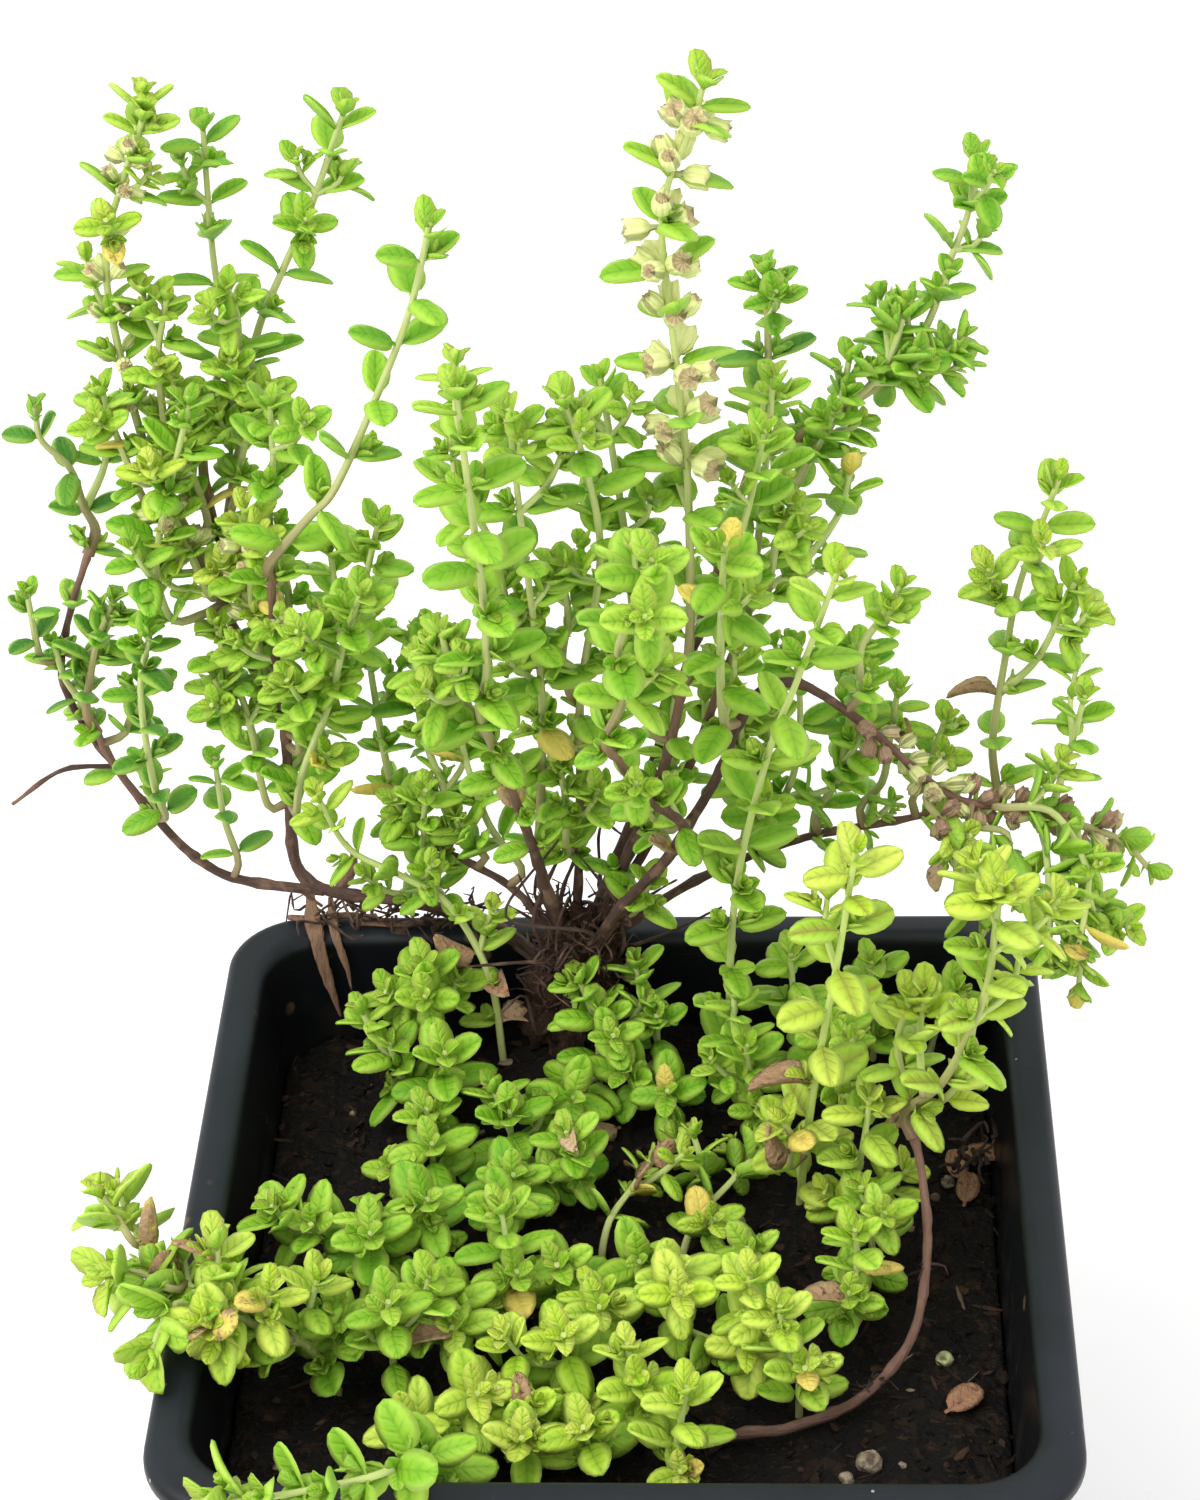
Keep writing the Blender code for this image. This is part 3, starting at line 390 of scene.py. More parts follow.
def pot_plastic():
    """Satin black, filmed with dust and soil where it was handled, scuffed and specked. The bluish film
    on the faces that look up is dust and also a painted sheen.
    """
    finish = Finish("black_pot_plastic")
    height = finish.part(finish.place, "Z")
    facing = finish.add("ShaderNodeNewGeometry", output="Normal")
    outside = (finish.part(facing, "X") * finish.part(finish.place, "X")
               + finish.part(facing, "Y") * finish.part(finish.place, "Y")) > 0.0
    near_rim = finish.between(height, (POT_HEIGHT - 18) * MM, (POT_HEIGHT - 8) * MM)
    # Dust on the faces that look up, whose bluish grey also stands for a painted sheen.
    dust_and_sheen = finish.noise(9.0, 4.0) * finish.between(finish.part(facing, "Z"), 0.2, 0.9)
    scuffs = finish.noise(0.35, place=finish.stretched(finish.place, (0.04, 1.0, 1.0)))
    cross_scuffs = finish.noise(0.3, place=finish.stretched(finish.place, (1.0, 0.05, 0.4)))
    scratches = ((finish.between(scuffs, 0.66, 0.76) + finish.between(cross_scuffs, 0.68, 0.78))
                 * finish.between(finish.noise(14.0), 0.5, 0.68))
    few = finish.part(finish.cells(1.9, "Color"), "X") > 0.9
    specks = (finish.between(finish.cells(1.9), 0.11, 0.06) * few
              * finish.between(finish.noise(16.0), 0.42, 0.6) * near_rim)
    soil_line = (finish.between(height, (POT_HEIGHT - 4) * MM, (POT_HEIGHT - 12) * MM)
                 * finish.between(finish.noise(3.0, 4.0), 0.42, 0.7) * (1 - outside))
    stain = (finish.between(finish.cells(6.0), 0.16, 0.1)
             * finish.between(finish.noise(11.0), 0.5, 0.58) * near_rim)
    colour = finish.mix(dust_and_sheen, rgb(0.0055, 0.0062, 0.008), rgb(0.021, 0.026, 0.035))
    colour = finish.mix(soil_line * 0.5, colour, rgb(0.016, 0.011, 0.008))
    colour = finish.mix(stain * 0.5, colour, rgb(0.22, 0.13, 0.07))
    colour = finish.mix(scratches * 0.25, colour, grey(0.06))
    colour = finish.mix(specks, colour, grey(0.42))
    rough = 0.36 + dust_and_sheen * 0.2 + soil_line * 0.3 + specks * 0.3 + scratches * 0.15
    grain = finish.noise(0.7) * 0.1 + finish.noise(7.0) + specks * 1.2 - scratches * 0.5
    return finish.coat(colour, rough, 0.24, grain, 0.06)


def build_pot():
    rings = []
    for half, z in with_supports(pot_profile()):
        radius = corner_radius(z) + min(0.0, half - POT_WIDTH / 2) * 0.3
        rings.append([p + Vector((0, 0, z)) for p in rounded_square(half, radius)])
    mesh = bmesh.new()
    loft(mesh, rings)
    made = new_piece("nursery_pot", mesh, pot_plastic())
    cutters = []
    for x, y in ((1, 1), (-1, 1), (-1, -1), (1, -1)):
        cutter = bmesh.new()
        bmesh.ops.create_cone(cutter, cap_ends=True, segments=32, radius1=DRAIN_HOLE_RADIUS,
                              radius2=DRAIN_HOLE_RADIUS, depth=4 * WALL)
        bmesh.ops.translate(cutter, verts=cutter.verts,
                            vec=(x * DRAIN_HOLE_OFFSET, y * DRAIN_HOLE_OFFSET, WALL / 2))
        cutters.append(new_piece("drain_hole_cutter", cutter, made.data.materials[0]))
    holes = into_collection("drain_hole_cutters", cutters)
    cut = made.modifiers.new("drain_holes", "BOOLEAN")
    cut.operand_type = "COLLECTION"
    cut.collection = holes
    cut.solver = "EXACT"
    settle(made)
    drop_shapes(holes)
    return made


pot = build_pot()
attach(pot, "root")
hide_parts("pot")


# The compost: dark, moist bark and wood fibre, pressed into the pot to a centimetre below the rim.
# It is loose and crumbly on top and rises to a low mound of roots round the woody crown.

COMPOST_DEPTH = 13.0
MOUND_CENTRE = (-5.0, 35.0)
MOUND_HEIGHT = 4.5
MOUND_REACH = 13.0
CRUMB_HEIGHT = 0.9
GAP = 0.3
COMPOST_STEPS = 150
FALLEN_LEAVES = [(-17.5, 28.5, 20), (-14, 24.5, 75), (1, 15.5, 130), (12.5, 12.5, 100),
                 (34.5, -19, 40)]
FLAT_SPOT = 3.4


def compost_height(x, y):
    """How far the compost's surface lies below the rim, as a negative height."""
    away = math.hypot(x - MOUND_CENTRE[0], y - MOUND_CENTRE[1])
    mound = MOUND_HEIGHT * math.exp(-(away / MOUND_REACH) ** 2)
    crumbs = CRUMB_HEIGHT * noise.noise(Vector((x / 5, y / 5, 0.5)))
    for leaf_x, leaf_y, _ in FALLEN_LEAVES:
        crumbs *= 1 - math.exp(-((x - leaf_x) ** 2 + (y - leaf_y) ** 2) / FLAT_SPOT ** 2)
    return -COMPOST_DEPTH + mound + crumbs


def crumble(x, y):
    """The fine relief of the crumbs, from -1 to 1 mm or so."""
    lumps = 0.25 * noise.cell(Vector((x / 1.6, y / 1.6, 1.0)))
    fine = 0.42 * noise.noise(Vector((x / 1.5, y / 1.5, 3.0)))
    finer = 0.26 * noise.noise(Vector((x / 0.7, y / 0.7, 6.0)))
    return lumps + fine + finer


def into_pot(u, v, half, radius):
    """Where a place in the square from -1 to 1 comes to lie between the pot's round corners."""
    reach = max(abs(u), abs(v), 1e-6)
    x, y = u / reach * half, v / reach * half
    middle = half - radius
    if abs(x) > middle and abs(y) > middle:
        corner = Vector((math.copysign(middle, x), math.copysign(middle, y)))
        x, y = corner + (Vector((x, y)) - corner).normalized() * radius
    return x * reach, y * reach


def damp_compost():
    finish = Finish("damp_compost")
    patches = finish.noise(8.0, 4.0)
    grains = finish.noise(0.8, 4.0, rough=0.7)
    chips = finish.part(finish.cells(1.3, "Color"), "X")
    threads = finish.noise(0.5, place=finish.stretched(finish.place, (0.3, 1.0, 0.6)))
    threads = finish.between(threads, 0.56, 0.7)
    colour = finish.mix(patches, rgb(0.0052, 0.0052, 0.005), rgb(0.0125, 0.0105, 0.009))
    colour = finish.mix(finish.between(chips, 0.72, 0.95) * 0.5, colour, rgb(0.036, 0.02, 0.012))
    colour = finish.mix(threads * 0.5, colour, rgb(0.052, 0.03, 0.018))
    rough = 0.62 + grains * 0.35
    bumps = grains + finish.cells(0.9) * 0.8 + threads * 0.5
    return finish.coat(colour, rough, 0.12, bumps, 0.45)


def build_compost():
    """The crumbly top, the sides a hair off the pot's wall and the flat underside."""
    mesh = bmesh.new()
    level = POT_HEIGHT - COMPOST_DEPTH
    half, radius = inner_half(level) - GAP, corner_radius(level) - 2
    rows = []
    for i in range(COMPOST_STEPS + 1):
        row = []
        for j in range(COMPOST_STEPS + 1):
            u, v = 2 * i / COMPOST_STEPS - 1, 2 * j / COMPOST_STEPS - 1
            x, y = into_pot(u, v, half, radius)
            edge = max(abs(u), abs(v))
            z = POT_HEIGHT + compost_height(x, y) + crumble(x, y) * (1 - edge ** 12)
            row.append(mesh.verts.new((x, y, z - 0.6 * edge ** 20)))
        rows.append(row)
    for i in range(COMPOST_STEPS):
        for j in range(COMPOST_STEPS):
            mesh.faces.new((rows[i][j], rows[i + 1][j], rows[i + 1][j + 1], rows[i][j + 1]))
    last = COMPOST_STEPS
    edge = ([rows[i][0] for i in range(last)] + [rows[last][j] for j in range(last)]
            + [rows[last - i][last] for i in range(last)] + [rows[0][last - j] for j in range(last)])
    ring = edge
    for z, inset in ((POT_HEIGHT - 30, 0.0), (WALL + GAP + FOOT_ROUNDING, 0.0),
                     (WALL + GAP, FOOT_ROUNDING)):
        share = (inner_half(z) - GAP - inset) / half
        lower = [mesh.verts.new((v.co.x * share, v.co.y * share, z)) for v in edge]
        for i in range(len(edge)):
            j = (i + 1) % len(edge)
            mesh.faces.new((ring[j], ring[i], lower[i], lower[j]))
        ring = lower
    mesh.faces.new(list(reversed(ring)))
    return new_piece("compost_surface", mesh, damp_compost())


compost = build_compost()
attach(compost, "root")
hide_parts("compost")


# The crumbs: chips of bark, crumbs of compost and wood fibres, a few of them pale, that lie loose on
# the compost. They were tipped in with it and lie as they fell.

CRUMBS_PER_MM2 = 0.3
CRUMB_SCALES = (0.35, 1.25)
CRUMB_SHAPES = [(1.0, 0.8, 0.6), (0.9, 0.7, 0.7), (1.6, 1.0, 0.35), (2.4, 1.1, 0.4), (3.4, 0.45, 0.35),
                (5.0, 0.28, 0.25)]
CRUMB_SEED = 11


def bark_chip():
    finish = Finish("bark_chip")
    shade = finish.carried("shade")
    grain = finish.noise(0.4, 3.0)
    colour = finish.mix(finish.between(shade, 0.55, 1.0), rgb(0.004, 0.003, 0.0025),
                        rgb(0.05, 0.026, 0.015))
    colour = finish.mix(finish.between(shade, 0.978, 0.99), colour, rgb(0.25, 0.2, 0.14))
    colour = finish.mix(finish.between(grain, 0.5, 0.75) * 0.5, colour, rgb(0.062, 0.038, 0.024))
    return finish.coat(colour, grain * 0.3 + 0.6, 0.15, grain, 0.2)


def crumb_shapes():
    """A few loose shapes, in mm: round crumbs, flat chips and splinters."""
    draw = random.Random(CRUMB_SEED)
    made = []
    for i, (length, width, height) in enumerate(CRUMB_SHAPES):
        mesh = bmesh.new()
        bmesh.ops.create_icosphere(mesh, subdivisions=1, radius=0.5)
        for vert in mesh.verts:
            x, y, z = vert.co * draw.uniform(0.7, 1.25)
            vert.co = Vector((x * length, y * width, z * height + 0.05 * (x * length) ** 2))
        made.append(new_piece(f"crumb_shape_{i}", mesh, compost.data.materials[0]))
        made[-1].data.shade_flat()
    return into_collection("crumb_shapes", made)


def geometry_tree(name, inputs):
    """An empty Geometry Nodes tree, with named inputs for what it is told."""
    tree = bpy.data.node_groups.new(name, "GeometryNodeTree")
    tree.interface.new_socket("Geometry", in_out="INPUT", socket_type="NodeSocketGeometry")
    for label, kind in inputs.items():
        tree.interface.new_socket(label, in_out="INPUT", socket_type="NodeSocket" + kind)
    tree.interface.new_socket("Geometry", in_out="OUTPUT", socket_type="NodeSocketGeometry")
    nodes = Nodes(tree)
    way_in = tree.nodes.new("NodeGroupInput")
    return nodes, {socket.name: Output(nodes, socket) for socket in way_in.outputs if socket.name}


def shape_by(thing, nodes, values):
    """Runs a tree on an object, and leaves what it makes as the object's plain mesh."""
    modifier = thing.modifiers.new(nodes.tree.name, "NODES")
    modifier.node_group = nodes.tree
    for item in nodes.tree.interface.items_tree:
        if item.in_out == "INPUT" and item.name in values:
            modifier[item.identifier] = values[item.name]
    settle(thing)


def crumb_tree():
    """Strews crumbs over the faces that look up."""
    nodes, given = geometry_tree("strewn_crumbs", {"Crumbs per square metre": "Float",
                                                   "Least crumb": "Float", "Largest crumb": "Float",
                                                   "Seed": "Int", "Shapes": "Collection",
                                                   "Finish": "Material"})
    facing_up = nodes.add("ShaderNodeSeparateXYZ", {}, {0: nodes.add("GeometryNodeInputNormal")}, "Z")
    points = nodes.add("GeometryNodeDistributePointsOnFaces", {},
                       {"Mesh": given["Geometry"], "Selection": facing_up > 0.3,
                        "Density": given["Crumbs per square metre"], "Seed": given["Seed"]})
    shapes = nodes.add("GeometryNodeCollectionInfo", {},
                       {"Collection": given["Shapes"], "Separate Children": True,
                        "Reset Children": True})
    turn = nodes.add("FunctionNodeRandomValue", {"data_type": "FLOAT_VECTOR"},
                     {0: (-0.5, -0.5, 0.0), 1: (0.5, 0.5, math.tau), "Seed": CRUMB_SEED}, 0)
    size = nodes.add("FunctionNodeRandomValue", {},
                     {2: given["Least crumb"], 3: given["Largest crumb"], "Seed": CRUMB_SEED + 1}, 1)
    which = nodes.add("FunctionNodeRandomValue", {"data_type": "INT"},
                      {4: 0, 5: len(CRUMB_SHAPES) - 1, "Seed": CRUMB_SEED + 2}, 2)
    shade = nodes.add("FunctionNodeRandomValue", {}, {"Seed": CRUMB_SEED + 3}, 1)
    strewn = nodes.add("GeometryNodeInstanceOnPoints", {},
                       {"Points": points, "Instance": shapes, "Pick Instance": True,
                        "Instance Index": which,
                        "Rotation": nodes.add("FunctionNodeEulerToRotation", {}, {0: turn}),
                        "Scale": size})
    shaded = nodes.add("GeometryNodeStoreNamedAttribute", {"domain": "INSTANCE"},
                       {"Geometry": strewn, "Name": "shade", "Value": shade})
    give_out(nodes, [made_real(nodes, shaded, given["Finish"])])
    return nodes


def made_real(nodes, geometry, finish):
    real = nodes.add("GeometryNodeRealizeInstances", {}, {"Geometry": geometry})
    return nodes.add("GeometryNodeSetMaterial", {}, {"Geometry": real, "Material": finish})


def give_out(nodes, geometries):
    """Ends a tree with one or more geometries joined."""
    joined = nodes.tree.nodes.new("GeometryNodeJoinGeometry")
    for geometry in geometries:
        nodes.tree.links.new(geometry.socket, joined.inputs[0])
    way_out = nodes.tree.nodes.new("NodeGroupOutput")
    nodes.tree.links.new(joined.outputs[0], way_out.inputs[0])


def strew_crumbs():
    kinds = crumb_shapes()
    made = bpy.data.objects.new("loose_crumbs", compost.data.copy())
    bpy.context.scene.collection.objects.link(made)
    least, largest = CRUMB_SCALES
    shape_by(made, crumb_tree(), {"Crumbs per square metre": CRUMBS_PER_MM2 / MM ** 2,
                                  "Least crumb": least, "Largest crumb": largest,
                                  "Seed": CRUMB_SEED, "Shapes": kinds, "Finish": bark_chip()})
    drop_shapes(kinds)
    return made


crumbs = strew_crumbs()
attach(crumbs, "root")


# The woody stems: the crown, which stands in the mound and branches all over the plant, and the
# runner, which comes out of the compost at the front and arches along the right wall. Thin brown
# bark, swollen where leaves stood and peeling in strips. They grew as they are.

WOOD_SEED = 21
HAIR_SEED = 22
PATH_STEP = 0.5
STEM_STEP = 2
WOODY_SIDES = 10
NODE_SPACING = 7.5
NODE_SWELLING = 0.28
NODE_LENGTH = 0.8
BARK_RELIEF = 0.32

# The real stems are slimmer than the solids, which have to hold together.
SLIMNESS = 0.54
TRUNK_SLIMNESS = 0.85
SIDE_SLIMNESS = 0.48
SIDE_STEMS = ("rim_left", "far_left", "far_left_upper", "right_back", "arching_right")

# In mm: x to the right, y to the back, z up from the rim. The two radii are at foot and end.
WOODY_STEMS = {
    "crown": ([(-6, 34, -20), (-6, 34, -12), (-6.3, 34.6, -4), (-6, 35.5, 3)], 3.0, 1.9),
    "rim_left": ([(-6.5, 35, -4), (-14, 39.5, 1.6), (-24, 43.5, 2.7), (-34, 46, 2.4),
                  (-38, 47.5, 5), (-38.3, 48.5, 14), (-38.3, 49.5, 24), (-41, 51, 29),
                  (-46, 54, 41)], 1.7, 1.0),
    "far_left": ([(-35, 46.2, 2.4), (-42, 48, 2), (-46.6, 48.5, 3), (-50.5, 49, 6),
                  (-54.5, 50, 11), (-58, 51, 16.5), (-59.8, 51, 22)], 1.3, 0.9),
    "bare_twig": ([(-58, 51, 16.5), (-64, 51, 16), (-70, 50, 12)], 0.6, 0.4),
    "far_left_upper": ([(-58, 51, 16.5), (-61.5, 53.2, 21), (-63.5, 55, 26), (-62.5, 57, 32),
                        (-59.5, 60, 40)], 0.9, 0.8),
    "left_inner": ([(-38.3, 49.5, 23), (-38, 46.5, 36), (-37.3, 44.5, 46)], 0.9, 0.75),
    "left_back": ([(-38.5, 50, 25), (-41, 54.5, 35), (-43, 57.5, 43)], 0.9, 0.75),
    "left_rear": ([(-43.5, 52.3, 35), (-44.5, 57, 41), (-46, 61, 46.5)], 0.85, 0.7),
    "centre_left": ([(-6, 35, 0), (-8.5, 33, 12), (-10.5, 29.5, 24), (-12, 26.5, 33)], 1.3, 0.85),
    "behind_left": ([(-6.5, 35.5, 0), (-9.5, 37, 10), (-9.5, 37, 16)], 1.0, 0.8),
    "centre": ([(-6, 36, 2), (-5.5, 39, 12), (-5, 38.5, 20)], 1.0, 0.8),
    "tall": ([(-5.5, 35.5, 1), (-1, 36.5, 12), (4, 36.5, 26), (6.5, 36, 38)], 1.3, 0.9),
    "front_arc": ([(-5.5, 34.5, 1), (-0.5, 31, 12), (5, 27, 22), (6.4, 24, 28), (3.2, 20, 34.4),
                   (0.9, 16, 41), (-0.3, 14, 45)], 1.2, 0.8),
    "arching_right": ([(-5, 35, 2), (3, 34, 14), (9.5, 33, 27), (12, 33, 34), (14.5, 33.5, 38.5),
                       (18.6, 34, 39), (24, 34, 35), (28, 34, 31), (32, 35, 26), (36, 35, 23),
                       (42.3, 36, 21.2)], 1.3, 0.8),
    "right_back": ([(-5, 36, 1), (6, 39.5, 8), (18, 42.5, 12), (30, 45, 13), (38.5, 46, 14.5)],
                   1.2, 0.8),
    "back": ([(-5.5, 36.5, 2), (1, 41, 18), (7, 47, 34), (11, 54, 44), (14, 59, 52)], 1.2, 0.8),
    "back_right": ([(7, 47, 34), (13, 52, 47), (18, 56, 54)], 0.9, 0.8),
    "centre_right": ([(-5, 36, 2), (5, 39.5, 20), (11, 41, 36)], 1.1, 0.85),
    "behind_crown": ([(-6.5, 35.5, 1), (-12, 38, 8), (-17.6, 40, 11), (-25.6, 44, 12.5)], 1.0, 0.6),
}
ARCHING_RUNNER = ([(9, -24.5, -20), (9.5, -24.5, -13), (12.5, -24.6, -11), (17, -24, -10.8),
                   (24, -20.5, -10.3), (29.5, -14, -8), (31.3, -4.5, -4), (30.8, 3.5, -0.5),
                   (29.8, 5, 3)], 1.25, 0.9)

# Dead twigs and roots, thinner than the solids hold: how far apart they start across and up, how
# many, the least and the largest reach, the lowest and the highest lean, and the radius at the foot.
CROWN_PLACE = (-6, 34.6, -3)
CROWN_TANGLE = (3.4, 9.0, 120, 2.5, 6.5, 5, 80, 0.19)
DEAD_TWIGS = (1.4, 6.0, 18, 9.0, 20.0, 10, 75, 0.3)
CROWN_ROOTS = (2.6, 7.0, 60, 3.0, 6.5, -88, -62, 0.17)
CLOD_HAIRS = (4.4, 11.0, 170, 2.0, 4.6, -20, 70, 0.13)
KNOT_PLACE = (37.5, 13.5, -9.5)
ROOT_KNOT = (2.2, 3.0, 14, 2.0, 4.0, -20, 80, 0.3)
THATCH_PLACES = [(x, 43.2, 0.9) for x in (-34.5, -30.5, -26.5, -22.5, -18.5)]
THATCH = (1.3, 0.8, 16, 2.0, 6.0, 0.5, 12, 0.2)
STUB_SHARES = (0.44, 0.46, 0.48, 0.72)
STUBS = (0.5, 0.4, 4, 0.8, 2.4, -35, 40, 0.2)
WANDER = 0.28
OVERHANG = 3.0
CLEARANCE = 0.5


def from_rim(point):
    """A place given from the middle of the rim, as one from the middle of the underside."""
    return Vector((point[0], point[1], point[2] + POT_HEIGHT))


class Path:
    """A smooth line through points, in even steps, with a frame that doesn't twist along it."""

    def __init__(self, points):
        self.places = self.even(self.smooth([Vector(p) for p in points]))
        self.length = PATH_STEP * (len(self.places) - 1)
        ends = [self.places[0]] + self.places + [self.places[-1]]
        self.tangents = [(after - before).normalized() for before, after in zip(ends, ends[2:])]
        side = Vector((1, 0.35, 0))
        self.sides = []
        for tangent in self.tangents:
            side = (side - side.dot(tangent) * tangent).normalized()
            self.sides.append(side)

    @staticmethod
    def smooth(points):
        ends = [2 * points[0] - points[1]] + points + [2 * points[-1] - points[-2]]
        line = []
        for a, b, c, d in zip(ends, ends[1:], ends[2:], ends[3:]):
            for step in range(12):
                t = step / 12
                line.append(0.5 * (2 * b + (c - a) * t + (2 * a - 5 * b + 4 * c - d) * t * t
                                   + (3 * b - a - 3 * c + d) * t ** 3))
        return line + [points[-1]]

    @staticmethod
    def even(line):
        total = sum((b - a).length for a, b in zip(line, line[1:]))
        count = max(3, round(total / PATH_STEP))
        places, gone, index = [line[0]], 0.0, 0
        for i in range(1, count):
            wanted = total * i / count
            while gone + (line[index + 1] - line[index]).length < wanted:
                gone += (line[index + 1] - line[index]).length
                index += 1
            share = (wanted - gone) / (line[index + 1] - line[index]).length
            places.append(line[index].lerp(line[index + 1], share))
        return places + [line[-1]]

    def at(self, distance):
        """The place, the direction of growth and two directions across the stem."""
        index = round(max(0.0, min(1.0, distance / self.length)) * (len(self.places) - 1))
        tangent, side = self.tangents[index], self.sides[index]
        return self.places[index], tangent, side, tangent.cross(side)


class Growth:
    """The stems of one piece and the places of its leaves, gathered before its mesh is made."""

    KINDS = {"stem": 0, "leaf": 1, "calyx": 2}
    NUMBERS = ("kind", "shape", "radius", "young", "worn", "tint", "woody")

    def __init__(self):
        self.places, self.edges, self.rows = [], [], []

    def put(self, place, **values):
        self.places.append(place)
        self.rows.append(values)

    def stem(self, path, **values):
        """A stem along a path. A value may be a function of the distance from its foot."""
        first = len(self.places)
        last = len(path.places) - 1
        for i in [*range(0, last, STEM_STEP), last]:
            distance = path.length * i / last
            told = {name: value(distance) if callable(value) else value
                    for name, value in values.items()}
            self.put(path.places[i], kind=self.KINDS["stem"], **told)
        self.edges += [(i, i + 1) for i in range(first, len(self.places) - 1)]

    def as_object(self, name):
        data = bpy.data.meshes.new(name)
        data.from_pydata([place * MM for place in self.places], self.edges, [])
        for label in self.NUMBERS:
            kept = data.attributes.new(label, "FLOAT", "POINT")
            kept.data.foreach_set("value", [float(row.get(label, 0.0)) for row in self.rows])
        for label in ("turn", "size"):
            kept = data.attributes.new(label, "FLOAT_VECTOR", "POINT")
            kept.data.foreach_set("vector", [n for row in self.rows for n in row.get(label, (0, 0, 0))])
        made = bpy.data.objects.new(name, data)
        bpy.context.scene.collection.objects.link(made)
        return made


def attribute(nodes, name, kind="FLOAT"):
    return nodes.add("GeometryNodeInputNamedAttribute", {"data_type": kind}, {"Name": name})


def swept_stems(nodes, stems, profile, relief=None):
    """Sweeps a profile of radius 1 mm along stems, and keeps where each point lies round them."""
    curves = nodes.add("GeometryNodeMeshToCurve", {}, {"Mesh": stems})
    length = nodes.add("GeometryNodeSplineParameter", output="Length")
    measured = nodes.add("GeometryNodeStoreNamedAttribute", {},
                         {"Geometry": curves, "Name": "along", "Value": length})
    marked = nodes.add("GeometryNodeStoreNamedAttribute", {"data_type": "FLOAT_VECTOR"},
                       {"Geometry": profile, "Name": "around",
                        "Value": nodes.add("GeometryNodeInputPosition")})
    swept = nodes.add("GeometryNodeCurveToMesh", {},
                      {"Curve": measured, "Profile Curve": marked,
                       "Scale": attribute(nodes, "radius"), "Fill Caps": True})
    if relief:
        fine = nodes.add("ShaderNodeTexNoise", {}, {"Scale": 900.0, "Detail": 3.0})
        swept = nodes.add("GeometryNodeSetPosition", {},
                          {"Geometry": swept,
                           "Offset": nodes.add("ShaderNodeVectorMath", {"operation": "SCALE"},
                                               {0: nodes.add("GeometryNodeInputNormal"),
                                                "Scale": (fine - 0.5) * relief})})
    return nodes.add("GeometryNodeSetShadeSmooth", {}, {"Geometry": swept})


def woody_tree():
    nodes, given = geometry_tree("woody_stems", {"Stem sides": "Int", "Bark relief": "Float",
                                                 "Bark": "Material"})
    profile = nodes.add("GeometryNodeCurvePrimitiveCircle", {},
                        {"Resolution": given["Stem sides"], "Radius": MM})
    swept = swept_stems(nodes, given["Geometry"], profile, given["Bark relief"])
    give_out(nodes, [made_real(nodes, swept, given["Bark"])])
    return nodes


def round_stem(finish, stretch):
    """Where a spot lies round and along its stem, with a shift of its own for each stem."""
    around = finish.carried("around", "Vector")
    return finish.add("ShaderNodeCombineXYZ", {},
                      {"X": finish.part(around, "X"), "Y": finish.part(around, "Y"),
                       "Z": finish.carried("along") * stretch + finish.carried("tint")})


def bark():
    """Brown bark with long pale and dark streaks, redder where it is young, soiled at its foot."""
    finish = Finish("thyme_bark")
    young = finish.carried("young")
    spot = round_stem(finish, 0.16)
    streaks = finish.noise(0.42, 3.0, spot, 0.6)
    cracks = finish.noise(0.2, 2.0, spot, 0.6)
    flakes = finish.noise(2.6, 3.0)
    colour = finish.mix(streaks, rgb(0.04, 0.022, 0.018), rgb(0.165, 0.09, 0.068))
    colour = finish.mix(finish.between(flakes, 0.5, 0.66) * 0.65, colour, rgb(0.285, 0.17, 0.11))
    colour = finish.mix(finish.between(cracks, 0.42, 0.3) * 0.7, colour, rgb(0.02, 0.012, 0.01))
    colour = finish.mix(finish.between(young, 0.0, 1.0) * 0.75, colour, rgb(0.37, 0.205, 0.145))
    soiled = finish.between(finish.part(finish.place, "Z") + flakes * 5 * MM, (POT_HEIGHT + 5) * MM,
                            (POT_HEIGHT - 6) * MM)
    colour = finish.mix(soiled * (0.85 - young * 0.85), colour, rgb(0.026, 0.017, 0.013))
    bumps = streaks + cracks * 0.6 + flakes * 0.6
    return finish.coat(colour, flakes * 0.25 + 0.6, 0.3, bumps, 0.3)


def swollen(path, foot, end, draw):
    """The radius along a woody stem, which tapers and swells at its old leaf joints."""
    joints = []
    distance = draw.uniform(2, NODE_SPACING)
    while distance < path.length:
        joints.append(distance)
        distance += NODE_SPACING * draw.uniform(0.6, 1.3)

    def radius(distance):
        plain = foot + (end - foot) * distance / path.length
        rings = sum(math.exp(-((distance - joint) / NODE_LENGTH) ** 2) for joint in joints)
        return plain * (1 + NODE_SWELLING * rings)
    return radius


def free_place(places):
    """Whether places lie above the compost, clear of the pot's wall and hardly beyond the solids."""
    for place in places:
        for low, high, value in zip(cad_box[0], cad_box[1], place * MM):
            if not low - OVERHANG * MM < value < high + OVERHANG * MM:
                return False
        reach = max(abs(place.x), abs(place.y))
        above_rim = place.z - POT_HEIGHT
        if reach > POT_WIDTH / 2 + CLEARANCE:
            continue
        if above_rim < CLEARANCE and reach > inner_half(place.z) - CLEARANCE:
            return False
        if above_rim < 0 and above_rim < compost_height(place.x, place.y) + CLEARANCE:
            return False
    return True


def sprawl(growth, middle, spread, rise, count, least, largest, lowest, highest, radius, draw, **values):
    """Thin stems that spread from one place, each bending a little as it goes."""
    for _ in range(count):
        turn = draw.uniform(0, math.tau)
        lean = math.radians(draw.uniform(lowest, highest))
        aim = Vector((math.cos(turn) * math.cos(lean), math.sin(turn) * math.cos(lean), math.sin(lean)))
        apart = Vector((draw.uniform(-spread, spread), draw.uniform(-spread, spread),
                        draw.uniform(0, rise)))
        start = from_rim(Vector(middle) + apart)
        reach = draw.uniform(least, largest)
        points = [start]
        for step in range(1, 4):
            bent = Vector([draw.uniform(-1, 1) for _ in range(3)])
            points.append(start + aim * reach * step / 3 + bent * reach * WANDER)
        if lean < 0 or free_place(points[1:]):
            path = Path(points)
            growth.stem(path, radius=lambda d, p=path: radius * (1 - 0.6 * d / p.length),
                        tint=draw.random(), **values)


